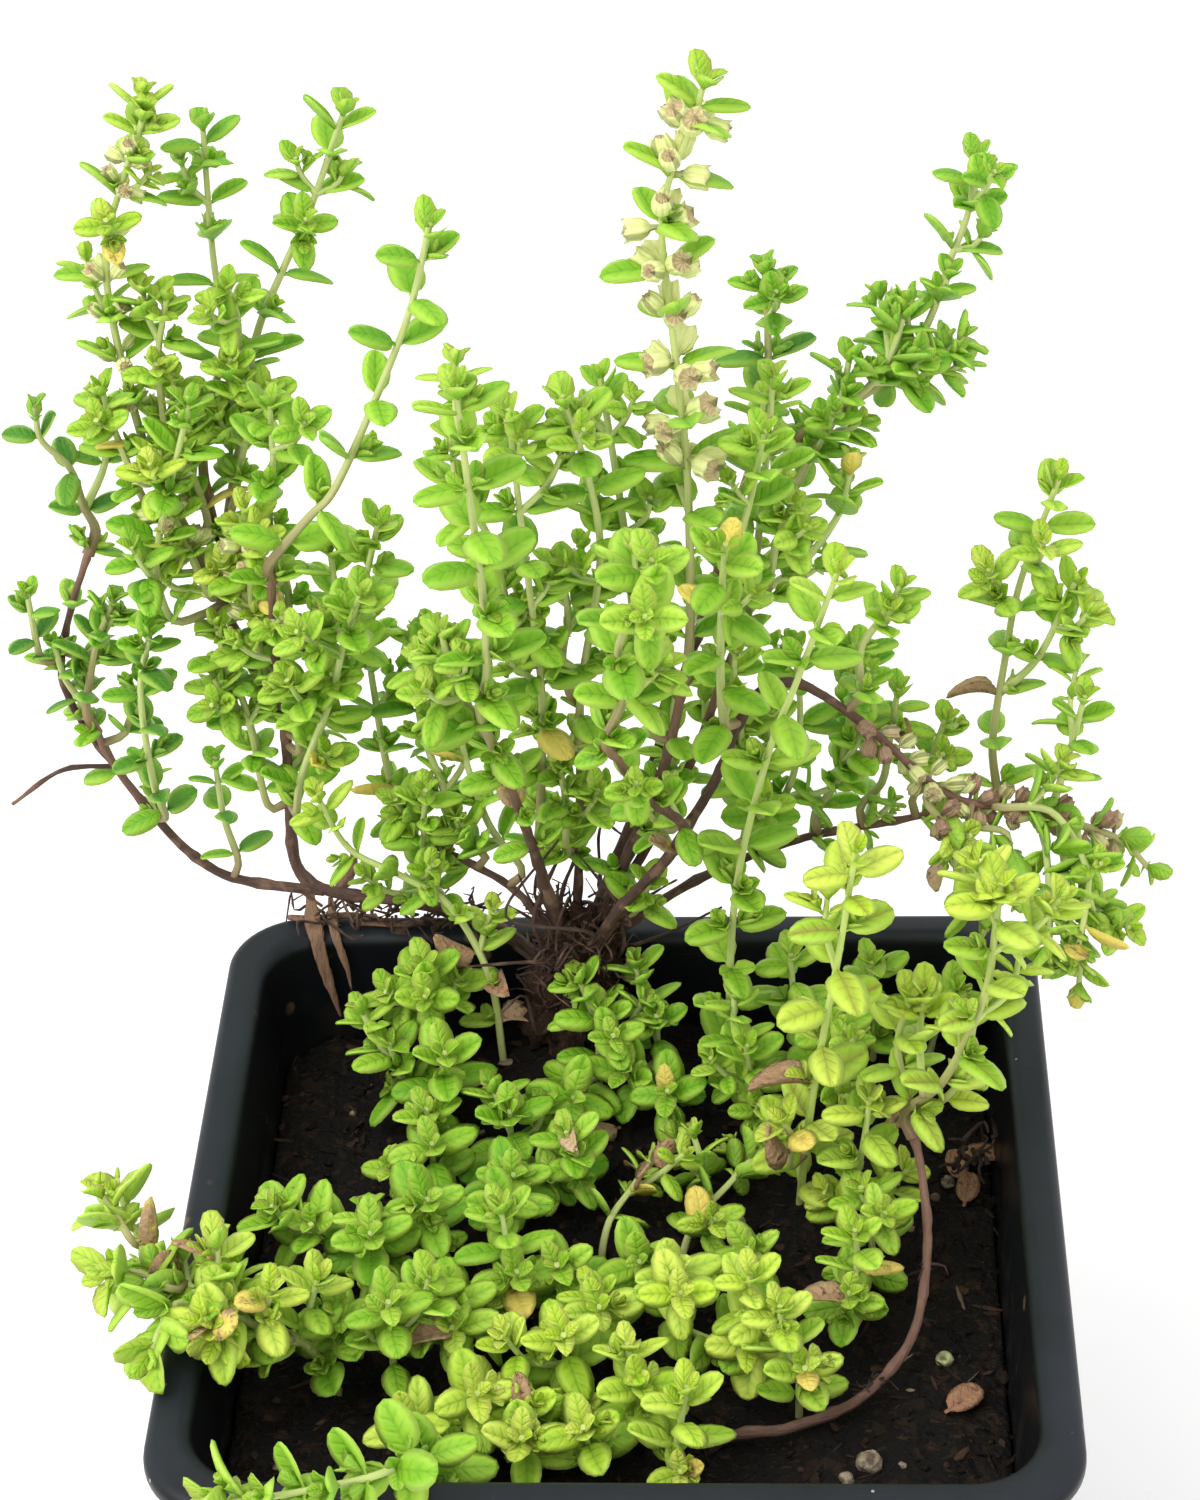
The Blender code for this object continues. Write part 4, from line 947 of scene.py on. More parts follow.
def grow_wood():
    """The crown with its dead twigs and root hairs, and the runner with its knot of roots."""
    draw = random.Random(WOOD_SEED)
    crown, runner = Growth(), Growth()
    for name, (points, foot, end) in WOODY_STEMS.items():
        path = Path([from_rim(p) for p in points])
        slim = TRUNK_SLIMNESS if name == "crown" else SIDE_SLIMNESS if name in SIDE_STEMS else SLIMNESS
        crown.stem(path, radius=swollen(path, foot * slim, end * slim, draw), tint=draw.random(),
                   young=lambda d, p=path: (d / p.length) ** 3)
    for kind in (CROWN_TANGLE, DEAD_TWIGS, CROWN_ROOTS):
        sprawl(crown, CROWN_PLACE, *kind, draw)
    sprawl(crown, CROWN_PLACE, *CLOD_HAIRS, random.Random(HAIR_SEED), young=0.15)
    for place in THATCH_PLACES:
        sprawl(crown, place, *THATCH, draw, young=0.2)
    sprawl(runner, KNOT_PLACE, *ROOT_KNOT, draw, young=0.15)
    points, foot, end = ARCHING_RUNNER
    path = Path([from_rim(p) for p in points])
    runner.stem(path, radius=swollen(path, foot * SIDE_SLIMNESS, end * SIDE_SLIMNESS, draw),
                tint=draw.random(), young=lambda d: 0.45 + 0.4 * d / path.length)
    for share in STUB_SHARES:
        joint = path.at(share * path.length)[0] - Vector((0, 0, POT_HEIGHT))
        sprawl(runner, joint, *STUBS, draw, young=0.3)
    tree, finish = woody_tree(), bark()
    made = crown.as_object("woody_stems"), runner.as_object("arching_stem")
    for thing in made:
        shape_by(thing, tree, {"Stem sides": WOODY_SIDES, "Bark relief": BARK_RELIEF * MM,
                               "Bark": finish})
    return made


woody_stems, arching_stem = grow_wood()
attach(woody_stems, "root")
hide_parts("woody_crown")
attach(arching_stem, "root")
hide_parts("arching_runner")


# The clod: damp soil, dead bark and root hairs that cling round the foot of the crown and hold its
# stems together where they leave the compost. It gathered there as the plant grew.

CLOD_PLACE = (-5.6, 34.6, -2.2)  # from the middle of the rim
CLOD_SIZE = (5.2, 4.3, 10.0)
CLOD_TAPER = 0.3


def clod_soil():
    """Brown soil, streaked upwards with fibres of bark and root."""
    finish = Finish("crown_clod")
    grains = finish.noise(0.6, 4.0, rough=0.7)
    fibres = finish.noise(0.45, 3.0, finish.stretched(finish.place, (1.0, 1.0, 0.3)), 0.6)
    colour = finish.mix(grains, rgb(0.012, 0.008, 0.006), rgb(0.07, 0.038, 0.024))
    colour = finish.mix(finish.between(fibres, 0.55, 0.7) * 0.7, colour, rgb(0.15, 0.085, 0.055))
    return finish.coat(colour, grains * 0.2 + 0.75, 0.12, grains + fibres, 0.5)


def build_clod():
    """A lumpy heap, wider at its foot, which stays clear of the pot's wall."""
    mesh = bmesh.new()
    bmesh.ops.create_icosphere(mesh, subdivisions=5, radius=1.0)
    centre = from_rim(CLOD_PLACE)
    for vert in mesh.verts:
        x, y, z = vert.co
        wide = 1 - CLOD_TAPER * z
        spot = Vector((x * CLOD_SIZE[0] * wide, y * CLOD_SIZE[1] * wide, z * CLOD_SIZE[2]))
        lump = 0.42 * noise.noise(spot / 3.4) + 0.26 * noise.noise(spot / 1.4)
        crumb = 0.14 * noise.noise(spot / 0.6) + 0.07 * noise.cell(spot / 0.8)
        place = centre + spot * (1 + lump + crumb)
        place.y = min(place.y, inner_half(place.z) - GAP - 0.1)
        vert.co = place
    return new_piece("crown_clod", mesh, clod_soil())


clod = build_clod()
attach(clod, "root")


# The leafy shoots: square green stems with their leaves in crosswise pairs, and small new leaves
# in the leaf joints. Soft, slightly fleshy and matt. They grew on the wood or from the compost.

LEAF_WIDTH_SHARE = 0.62
LEAF_STALK = 0.12
LEAF_THICKNESS = 0.05
LEAF_STATIONS = (0.0, 0.12, 0.18, 0.3, 0.46, 0.64, 0.81, 0.94, 1.0)
SMALL_STATIONS = (0.0, 0.14, 0.34, 0.64, 0.91, 1.0)
STEM_THICKNESS = 1.7
STEM_ROUNDNESS = 0.3125
WOODY_FOOT_RADIUS = 0.75
GREEN_STEM_RADIUS = 0.52
GREEN_TIP_RADIUS = 0.34
ROOT_DEPTH = 6.0
BARE_FOOT = 2.5
BROWNING_ON_WOOD = 16.0
BROWNING = 5.0

# From the pair at the tip to the grown ones: how far the leaves stand out in degrees, and their
# length and the gap to the next pair as shares of the grown ones.
GROWN_AGE = 4
SPREADS = (36, 54, 60, 64, 68)
TIP_LENGTHS = (0.46, 0.68, 0.88, 1.0, 1.0)
TIP_GAPS = (0.16, 0.34, 0.58, 0.85, 1.0)
TWIG_LEAN = (36, 64)
TWIG_LENGTH = (4.0, 9.5)
TUFT_LEAN = (26, 46)
LIGHT_FROM = Vector((-0.1, -0.2, 1.0))
TURN_TO_LIGHT = 0.45

# How much each form of leaf is troughed at its rib, arched along it, curled down at its edges
# and twisted: grown leaves, new leaves and withered ones.
GROWN_FORMS = [(0.16, 0.14, 0.2, 0.0), (0.28, 0.02, 0.14, 0.16), (0.08, 0.26, 0.22, -0.12),
               (0.34, -0.1, 0.1, 0.1), (0.2, 0.2, 0.18, -0.2)]
NEW_FORMS = [(0.42, -0.05, 0.1, 0.0), (0.3, -0.16, 0.1, 0.15), (0.52, 0.08, 0.1, -0.1)]
WITHERED_FORMS = [(0.4, 0.4, -0.15, 0.6), (0.2, -0.4, 0.5, -0.7)]

# How yellow-green a shoot is, or, below 0, how dark its leaves are painted as shade, how many of its
# leaf joints hold new leaves, how reddish its ribs are and how many of the joints bear a twig.
Habit = namedtuple("Habit", "fresh tufts ruddy twigs", defaults=(0.1, 0.5, 0.0, 0.24))


class Shoot:
    """A shoot: what it stands on and where, the length of its leaves and the distance between pairs,
    the points that it and its side shoots grow through, and its whorls of calyxes."""

    def __init__(self, carrier, where, leaf, pair, path, *sides, whorls=0, **habit):
        self.carrier, self.where, self.leaf, self.pair = carrier, where, leaf, pair
        self.path, self.sides, self.whorls = path, sides, whorls
        self.habit = Habit(**habit)


# The pieces, each with its shoots. The place is a share of the carrier's length, or a place in the
# compost. A shoot with a number in its name is one more than the solids hold.
LEAFY_PIECES = {"tall_flowering_stem": {
    "tall_flowering_shoot": Shoot(
        "tall", 1.0, 6.4, 5, [(7.3, 36.5, 48), (7.2, 37, 62), (6.6, 38, 71), (5.5, 40, 82), (5, 41, 88.4),
        (5.7, 42, 93), (7.9, 43, 98), (9.4, 43, 103.5)], whorls=8, fresh=0.14, tufts=0.3, twigs=0.06),
}, "centre_left_stems": {
    "centre_left_shoot": Shoot(
        "centre_left", 1.0, 6.2, 5.6, [(-14, 22.5, 43.7), (-12.8, 20, 50.6), (-12.7, 18.5, 62),
        (-13.2, 17, 72), (-14, 17, 85)]),
    "behind_left_shoot": Shoot(
        "behind_left", 1.0, 5.8, 6, [(-8.5, 35.5, 36), (-9, 32.5, 51), (-9.6, 32, 61),
        (-10.3, 32, 73.5)]),
    "behind_left_1": Shoot(
        "behind_crown", 0.75, 5.4, 4.8, [(-20.4, 44, 18), (-23.1, 49, 25), (-21.6, 52, 34.6)], fresh=-0.1,
        tufts=0.6, twigs=0.3),
    "behind_left_2": Shoot(
        "behind_crown", 0.97, 5.6, 4.8, [(-26.5, 47, 17), (-28.1, 51, 26), (-28.9, 53, 34)], fresh=-0.15,
        tufts=0.6, twigs=0.3),
    "behind_left_3": Shoot(
        "behind_crown", 0.45, 5.4, 5, [(-15.5, 41, 16), (-18.4, 45.5, 24.8), (-17.7, 48.5, 30.7)],
        fresh=-0.1, tufts=0.6, twigs=0.3),
    "crown_left_1": Shoot("behind_crown", 0.6, 5.2, 4, [(-23, 42, 15), (-25.5, 41, 19)]),
    "centre_gap_2": Shoot(
        "behind_left_shoot", 0.45, 5.6, 4.6, [(-13, 34, 57), (-16, 35.5, 62), (-16.5, 37, 68)]),
    "centre_gap_4": Shoot("centre_left_shoot", 0.15, 5.6, 4.6, [(-16.5, 23, 48), (-17.5, 23.5, 53)]),
}, "centre_stems": {
    "centre_shoot": Shoot(
        "centre", 1.0, 5.8, 6, [(-4.5, 37, 35.7), (-1.8, 34.5, 54.5), (-2.9, 32, 67), (-4.9, 32, 75)]),
    "centre_back_shoot": Shoot(
        "tall", 0.8, 5.4, 6, [(1.5, 39.5, 40), (0.5, 39.5, 55), (-1.5, 41, 72)], fresh=0, tufts=0.6,
        twigs=0.3),
    "crown_leaves_2": Shoot("tall", 0.2, 5, 3.8, [(1.2, 34, 9.5), (2.5, 33, 14)]),
    "crown_leaves_4": Shoot("centre", 0.7, 5.2, 4, [(-6.5, 36, 22), (-6.8, 35, 27)]),
    "centre_gap_3": Shoot("centre_shoot", 0.35, 5.4, 4.2, [(-5.5, 37, 46), (-6.3, 38, 52)]),
}, "front_rosette_stems": {
    "front_rosette_shoot": Shoot(
        "front_arc", 1.0, 6.4, 5.4, [(1, 12.4, 52.4), (0.8, 11, 59), (2.6, 9, 66), (4.4, 6, 72.5)]),
    "arch_rosette_shoot": Shoot(
        "arching_right", 0.49, 5.8, 5.6, [(10.4, 28.5, 44), (10.7, 25, 56.6), (11.1, 22, 64)]),
    "crown_leaves_5": Shoot("arching_right", 0.3, 5.2, 4, [(4.5, 31, 22), (2, 30, 26)]),
}, "long_pale_stem": {
    "long_pale_shoot": Shoot(
        "compost", (11.5, 30), 6.2, 6.6, [(11, 27.5, 2), (12, 24, 21), (15.4, 21, 40), (18.1, 20, 49),
        (22, 17, 64)], fresh=0.28, ruddy=0.15, twigs=0),
}, "yellow_green_stem": {
    "yellow_green_shoot": Shoot(
        "compost", (18.5, 10.5), 6.2, 6, [(19.2, 8, 0), (20.6, 6, 14), (22.2, 4, 27.5), (23.6, 2, 41.5)],
        fresh=0.85, tufts=0.2, ruddy=0.7, twigs=0.05),
    "right_gap_6": Shoot(
        "yellow_green_shoot", 0.25, 5.8, 4.6, [(17.6, 6, 0.5), (16.6, 5, 4)], fresh=0.5, tufts=0.3,
        ruddy=0.5, twigs=0),
}, "right_stem": {
    "right_shoot": Shoot(
        "runner", 1.0, 6.2, 5, [(33, 3.5, 11), (36.6, 3, 22), (37.4, 2, 31.6), (37.6, 1, 38)],
        [(31, 4, 8), (30.6, 8, 13), (31.1, 8.5, 18)], fresh=0.7, tufts=0.4, ruddy=0.6, twigs=0.2),
    "right_gap_4": Shoot(
        "right_shoot", 0.12, 5.6, 4.6, [(29.2, 6.5, 7), (28.4, 8, 12), (29.6, 8.5, 18)], fresh=0.6,
        tufts=0.6, ruddy=0.3, twigs=0.2),
    "right_gap_5": Shoot(
        "right_shoot", 0.1, 6, 4.8, [(33.5, 6, 6.5), (35, 7, 8)], fresh=0.6, tufts=0.3, ruddy=0.6,
        twigs=0),
}, "right_back_stem": {
    "right_back_shoot": Shoot(
        "right_back", 1.0, 5.8, 5.4, [(39.9, 47, 22), (41, 48.5, 32), (42.4, 50, 41), (46, 50, 54)],
        [(40.6, 48, 28), (44.5, 47.5, 33), (48, 47, 43)], fresh=0.2, ruddy=0.1, twigs=0.25),
    "right_behind_3": Shoot(
        "right_back", 0.73, 5.2, 4.6, [(27.9, 46, 17.5), (28.7, 47, 23), (29.5, 48, 28.5)]),
    "right_behind_4": Shoot("right_back", 0.85, 5, 4.6, [(32.8, 46, 17), (33.1, 46, 20), (34.6, 46, 26)]),
    "right_behind_6": Shoot(
        "right_back", 0.9, 5, 4.4, [(35.8, 43.5, 10), (36.5, 40, 7), (39.1, 37, 4.5)]),
}, "right_hanging_stems": {
    "right_spray": Shoot(
        "arching_right", 1.0, 5, 5, [(47.8, 37, 18.6), (53.4, 38, 15.4), (57, 38, 11.2)],
        [(45.5, 36.6, 19.8), (47.5, 40, 25), (48.9, 40, 33)], [(46.5, 36.8, 19.3), (46.8, 32, 17.5),
        (47.5, 27, 12)], [(48.5, 37.1, 18.2), (49, 31, 12), (48.5, 25, 5)], whorls=4, tufts=0.4,
        ruddy=0.1, twigs=0.15),
    "dry_heads": Shoot(
        "arching_right", 0.86, 4.5, 6, [(34.5, 32, 21.5), (36, 28.5, 18)], whorls=3, fresh=0.3, tufts=0.3,
        ruddy=0.3, twigs=0.5),
    "right_arch_shoot": Shoot(
        "arching_right", 0.68, 5, 4.6, [(24.9, 36, 41.8), (27.4, 36.5, 46), (29, 36.5, 49.5)]),
    "right_hanging_1": Shoot(
        "arching_right", 0.985, 5.4, 4.2, [(44.3, 34.5, 21), (44.9, 31, 18.4), (45.2, 28, 14),
        (45.2, 25, 8.6)], fresh=0.2, tufts=0.6, twigs=0.15),
    "right_hanging_2": Shoot(
        "arching_right", 0.96, 5.2, 4.2, [(45.5, 33.5, 22.5), (49, 30, 18), (48.9, 27, 14.4),
        (47.8, 24.5, 9)], fresh=0.2, tufts=0.6, twigs=0.1),
    "right_hanging_3": Shoot(
        "arching_right", 0.93, 5.2, 4.2, [(40.5, 33.5, 20), (41.1, 32, 18.5), (42.1, 30, 14)]),
}, "back_stems": {
    "back_right_shoot": Shoot(
        "back_right", 1.0, 5.8, 5.4, [(24, 60, 57.2), (29.7, 64, 59.5), (33, 67, 64), (35, 70, 69),
        (37, 72, 74), (37.6, 73, 80)], fresh=-0.15, tufts=0.6, twigs=0.2),
    "back_shoot": Shoot(
        "back", 1.0, 5.6, 5.4, [(15.5, 62, 61), (15.2, 64, 72)], fresh=-0.3, tufts=0.9, twigs=0.2),
    "back_right_1": Shoot(
        "back_right", 0.85, 5.6, 4.4, [(20.5, 56.8, 54), (22.9, 58, 57.5), (24.2, 60, 63.5)], fresh=-0.15,
        tufts=0.8, twigs=0.5),
    "back_right_2": Shoot(
        "back_right_shoot", 0.2, 5.8, 4.4, [(25.8, 60, 59), (28.5, 61, 62.5), (30, 63, 67)], fresh=-0.15,
        tufts=0.6, twigs=0.1),
    "back_right_3": Shoot(
        "back_right_shoot", 0.4, 5.6, 4.4, [(33.4, 63.5, 60), (36.6, 65.5, 62.5)], fresh=-0.15, tufts=0.8,
        twigs=0.5),
}, "centre_right_stems": {
    "centre_right_spray": Shoot(
        "centre_right", 1.0, 5.6, 5.4, [(13.5, 42, 44), (15, 44, 58), (16, 46, 69)], [(12.6, 41.6, 41),
        (11.5, 38, 49), (13.6, 37, 60), (15.1, 35, 69)], [(13.6, 42, 44.5), (18.8, 46, 46), (23, 50, 50),
        (24.3, 52, 55)]),
    "right_behind_1": Shoot(
        "right_back", 0.5, 5.4, 4.8, [(18, 43.5, 20), (18.8, 44, 28), (18.2, 45, 36)], fresh=-0.1,
        tufts=0.6, twigs=0.3),
    "right_behind_2": Shoot(
        "right_back", 0.62, 5.4, 4.8, [(23, 45, 19), (24.3, 46, 27), (25.5, 47, 34.5)], fresh=-0.1,
        tufts=0.6, twigs=0.3),
    "right_behind_5": Shoot(
        "right_back", 0.42, 5.4, 4.8, [(14.2, 41, 15), (12.8, 40, 22), (12.3, 40, 31)]),
    "centre_gap_1": Shoot("centre_right_spray", 0.3, 5.4, 4.2, [(16.3, 40.5, 52.5), (17.8, 39, 58)]),
}, "left_flowering_stem": {
    "left_flowering_shoot": Shoot(
        "rim_left", 1.0, 5.8, 4.6, [(-49.7, 56, 50), (-52.1, 58, 56), (-54.3, 61, 69), (-54.3, 63, 76),
        (-52.7, 64, 81), (-49.1, 65, 90)], whorls=7, fresh=0.22, tufts=0.4, twigs=0.15),
    "left_top_3": Shoot(
        "left_flowering_shoot", 0.3, 5.4, 4.2, [(-49.5, 59, 64), (-48, 60, 71)], fresh=0.15, tufts=0.7,
        twigs=0.3),
    "left_top_5": Shoot("left_flowering_shoot", 0.1, 5.4, 4.2, [(-47.5, 57.5, 55), (-46, 58.5, 59.5)]),
    "left_top_6": Shoot("left_flowering_shoot", 0.18, 5.2, 4.2, [(-54.5, 57, 56), (-55.5, 57, 62)]),
}, "left_rear_stems": {
    "left_rear_shoot": Shoot(
        "left_rear", 1.0, 5.6, 4.4, [(-46, 64.5, 54), (-43.6, 68, 61), (-44.6, 72, 70), (-44.8, 75, 84)],
        fresh=-0.1, twigs=0.2),
    "left_back_shoot": Shoot(
        "left_back", 1.0, 5.8, 4.8, [(-42, 61, 52), (-39.8, 65, 63), (-36.3, 68, 70.5), (-33.4, 70, 76),
        (-29, 72, 87)], fresh=0, twigs=0.2),
    "left_top_2": Shoot("left_back_shoot", 0.28, 5.4, 4.2, [(-41, 62, 66), (-41.5, 60.5, 72)]),
    "left_top_4": Shoot("left_back_shoot", 0.1, 5.4, 4.2, [(-40.5, 58.5, 56.5), (-40.3, 58, 62)]),
}, "left_fan_stems": {
    "left_inner_shoot": Shoot(
        "left_inner", 1.0, 6, 7.6, [(-32.3, 42, 55), (-29.3, 41, 59), (-24.2, 39, 70.7), (-19.9, 37, 82),
        (-17.3, 36, 92)], fresh=0, tufts=0.4, twigs=0),
    "left_middle_shoot": Shoot(
        "left_back", 0.35, 5.6, 5.4, [(-37, 53.5, 38), (-38, 51.5, 48), (-37, 51, 56), (-36.6, 50, 64)],
        fresh=-0.05, tufts=0.6, twigs=0.3),
    "left_outer_shoot": Shoot(
        "rim_left", 0.94, 5.6, 5.4, [(-49.5, 50, 37), (-50.5, 50, 44), (-48.3, 51, 53), (-45.3, 52, 63)],
        fresh=-0.1, tufts=0.6, twigs=0.3),
    "left_fan_upper": Shoot(
        "rim_left", 0.72, 5.6, 5.4, [(-33, 46.5, 28), (-28.8, 45, 40), (-25.4, 44, 53)]),
    "left_fan_lower": Shoot(
        "rim_left", 0.6, 5.6, 5.2, [(-36, 44, 20), (-31.8, 42, 31.7), (-29.4, 40, 41), (-27.1, 38, 48)]),
    "left_middle_1": Shoot(
        "rim_left", 0.78, 5.4, 4.6, [(-39.6, 49.3, 31), (-40.4, 49, 37), (-40.3, 49, 44.5),
        (-40.2, 49, 52)], whorls=3, fresh=0.55, tufts=0.6, twigs=0.3),
    "left_middle_2": Shoot(
        "rim_left", 0.7, 5.6, 5, [(-36.2, 47.5, 25.5), (-32.1, 46.5, 34.8), (-30.9, 46, 41.9),
        (-31, 46, 48.3)]),
    "left_upper_1": Shoot(
        "rim_left", 0.97, 5.4, 4.6, [(-48, 53.2, 46), (-49.3, 53, 50.3), (-49.3, 54, 57.2)], whorls=3,
        fresh=0.5, tufts=0.6, twigs=0.3),
    "left_low_4": Shoot("rim_left", 0.6, 5, 4.2, [(-42, 48.5, 24), (-44.5, 48.5, 28), (-45.5, 48.5, 31)]),
    "left_low_3": Shoot("rim_left", 0.66, 5.2, 4.4, [(-42.5, 49, 27), (-44, 49, 32), (-44.5, 49, 37)]),
}, "left_rim_stems": {
    "rim_shoot": Shoot("rim_left", 0.24, 5, 4.4, [(-22.8, 41, 9), (-22.5, 40, 15), (-21.8, 38, 22.5)]),
    "trailing_pale_shoot": Shoot(
        "compost", (-14.5, 32), 4.8, 4.6, [(-15.7, 34, 0), (-19.8, 36, 8.2), (-25.2, 36, 12.6),
        (-30.5, 37, 15.4), (-33.5, 37, 22.6)], fresh=0.35, tufts=0.4, ruddy=0.1, twigs=0.1),
}, "far_left_stems": {
    "far_left_shoot": Shoot(
        "far_left", 1.0, 4.9, 4, [(-60.2, 52.4, 26), (-58.6, 53, 32), (-56.3, 54, 37)], fresh=-0.4,
        tufts=0.3, twigs=0),
    "far_left_inner_shoot": Shoot(
        "far_left", 0.62, 4.9, 4.2, [(-53, 46.5, 18), (-53.4, 47.5, 29), (-51.5, 47, 37)], fresh=-0.35,
        tufts=0.3, twigs=0),
    "low_left_shoot": Shoot(
        "far_left", 0.3, 4.8, 6.4, [(-46, 49, 11), (-46.3, 49, 19)], fresh=-0.3, tufts=0.3, twigs=0),
    "far_left_outer_shoot": Shoot(
        "far_left_upper", 0.5, 4.4, 5.2, [(-65.6, 54, 31), (-65.9, 54, 38)], fresh=-0.4, tufts=0.2,
        twigs=0),
    "far_left_top_shoot": Shoot(
        "far_left_upper", 1.0, 4.8, 9, [(-59.5, 59, 46), (-60, 57, 52), (-62.4, 55.5, 56.5),
        (-62.4, 55, 61)], [(-59.6, 59.2, 45), (-57, 61, 50), (-56.5, 61, 55)], fresh=-0.35, tufts=0,
        twigs=0),
    "far_left_1": Shoot(
        "far_left_upper", 0.55, 4.4, 3.6, [(-59.5, 54.5, 30), (-56.5, 53.5, 35)], fresh=-0.4, tufts=0.2,
        twigs=0),
    "far_left_2": Shoot(
        "far_left", 0.93, 4.4, 3.6, [(-56, 52, 22), (-54, 52.5, 27.5)], fresh=-0.4, tufts=0.2, twigs=0),
    "far_left_3": Shoot(
        "far_left_upper", 0.25, 4.2, 3.6, [(-63, 54, 26.5), (-63.8, 54.5, 31)], fresh=-0.4, tufts=0.2,
        twigs=0),
}, "front_rosettes": {
    "front_centre_rosettes": Shoot(
        "compost", (5, -9.5), 5.9, 3.5, [(5.2, -11, -6), (5.5, -14, 1)], [(5, -9.9, -10.5),
        (10, -13.5, -9.5), (13.8, -16.5, -6), (14.6, -19, -0.5)], fresh=0.45, tufts=0.35, twigs=0.25),
    "front_middle_rosettes": Shoot(
        "compost", (-5.5, -17), 5.9, 3.5, [(-5.4, -18.5, -7), (-5.3, -21, -1)], [(-5.5, -17.5, -10.5),
        (-7.5, -24, -9.5), (-8.8, -29.5, -8), (-9, -32, -4)], fresh=0.45, tufts=0.35, twigs=0.25),
    "front_low_rosette": Shoot(
        "compost", (5, -30), 5.7, 3.5, [(6, -30.5, -6), (7, -29.5, 0.5)], fresh=0.5, tufts=0.35,
        twigs=0.25),
    "front_left_rosettes": Shoot(
        "compost", (-15, -23), 5.9, 3.5, [(-14.5, -25, -7), (-13.5, -28, -2)], [(-15, -23.4, -10.5),
        (-18.5, -26, -9), (-20.5, -29.5, -5)], fresh=0.45, tufts=0.35, twigs=0.25),
    "left_front_rosette": Shoot(
        "compost", (-23, -17), 6.2, 3.9, [(-22.8, -18, -5), (-22.5, -20.5, 3)], twigs=0.4),
    "front_gap_1": Shoot(
        "compost", (-2.3, -11.3), 5.9, 3.7, [(-2.2, -13, -7), (-1.9, -16, -2)], fresh=0.3, twigs=0.3),
    "front_gap_2": Shoot(
        "compost", (2, -22), 5.9, 3.7, [(2, -24, -7), (2.3, -26.5, -2)], fresh=0.35, twigs=0.3),
    "front_gap_3": Shoot(
        "compost", (-2.5, -28), 5.7, 3.7, [(-2.8, -30, -7), (-3, -32, -2.5)], fresh=0.4, twigs=0.3),
    "front_gap_4": Shoot(
        "compost", (-17.5, -11.5), 6.2, 3.7, [(-17, -13.5, -7), (-16.5, -16, -1)], twigs=0.3),
    "front_gap_5": Shoot(
        "compost", (18, -20), 5.5, 3.7, [(18, -21.5, -7), (18.5, -24, -2.5)], fresh=0.3, twigs=0.3),
}, "left_rosettes": {
    "left_carpet": Shoot(
        "compost", (-21, 2.5), 6.1, 3.7, [(-20.8, 0, -6), (-20, -3, 0.5)], [(-21, 2.3, -10.5),
        (-25, -1.5, -8), (-25.6, -5, -4.5), (-25.5, -7.5, 0)], [(-21, 2.4, -11), (-27, 1.5, -9.5),
        (-31, -2, -6.5), (-32, -4.5, -1.5)], fresh=0.02, tufts=0.35, twigs=0.2),
    "middle_left_rosettes": Shoot(
        "compost", (-12.5, 17), 5.7, 3.5, [(-12.6, 15.5, -7.5), (-12.5, 14, -2.5)], [(-12.5, 16.8, -10.5),
        (-12.8, 10, -9.5), (-12.4, 6, -7), (-11.5, 3.5, -2)], [(-12.5, 16.9, -11), (-8, 12.5, -9.5),
        (-5.6, 9.5, -7), (-5, 8, -3)], fresh=0, tufts=0.4, twigs=0.3),
    "back_left_rosettes": Shoot(
        "compost", (-21, 22.5), 6.2, 3.7, [(-20.4, 21.5, -5), (-19.5, 19, 1.5)], [(-21, 22.4, -9.5),
        (-25, 24.5, -7), (-26, 23.5, -1)], tufts=0.4, twigs=0.3),
    "back_left_tuft": Shoot(
        "compost", (-22.5, 32.5), 6.1, 3.9, [(-22.6, 32, -3), (-22.3, 31, 4)], twigs=0.5),
    "middle_rosette": Shoot(
        "compost", (-11.5, -6.5), 5.9, 3.7, [(-11.4, -8, -7), (-10.5, -11, -2)], fresh=0.05, tufts=0.4,
        twigs=0.3),
    "middle_gap_1": Shoot("compost", (-5.5, -5), 5.7, 3.7, [(-6, -7, -7.5), (-6.5, -9.5, -2.5)]),
    "left_gap_2": Shoot("compost", (-21, 13), 5.7, 3.7, [(-20.8, 11.5, -8), (-20.5, 9.5, -3)]),
    "left_gap_3": Shoot("compost", (-27, -12.5), 5.9, 3.7, [(-27.5, -14.5, -7), (-28, -17.5, -1)]),
    "column_gap_1": Shoot("compost", (-21, 17.5), 5.6, 3.6, [(-21.2, 16.5, -8), (-21.5, 15, -3)]),
}, "middle_rosettes": {
    "crown_foot_rosettes": Shoot(
        "compost", (-3.5, 27), 5.7, 3.5, [(-3.4, 26.8, -4), (-3, 26, 1.5)], [(-3.5, 26.8, -8),
        (-6.2, 22, -7.5), (-6, 18.5, -4.5)], fresh=0, tufts=0.4, twigs=0.3),
    "centre_rosettes": Shoot(
        "compost", (3, 29), 5.5, 3.7, [(3, 28.6, -5), (3, 27.5, -0.5)], [(3, 28.8, -8), (0.3, 24.5, -7),
        (-0.6, 22, -3.5)], [(3, 28.8, -9), (4.6, 22, -7.5), (4.2, 19, -4)], fresh=0, tufts=0.4,
        twigs=0.3),
    "creeping_shoot": Shoot(
        "compost", (-2.5, 2.5), 4.4, 4.6, [(-1.6, 4.4, -9), (0.6, 8, -8), (2.8, 12, -7)], fresh=0.25,
        tufts=0.3, ruddy=0.1, twigs=0.2),
    "creeping_runner": Shoot(
        "compost", (6, 2.5), 4.8, 4.8, [(7.5, 4.5, -9), (10.5, 8, -8), (15, 13, -6)], [(9, 6.2, -8.6),
        (8, 10.5, -6.5), (7, 12.5, -4)], fresh=0.25, tufts=0.3, ruddy=0.1, twigs=0.2),
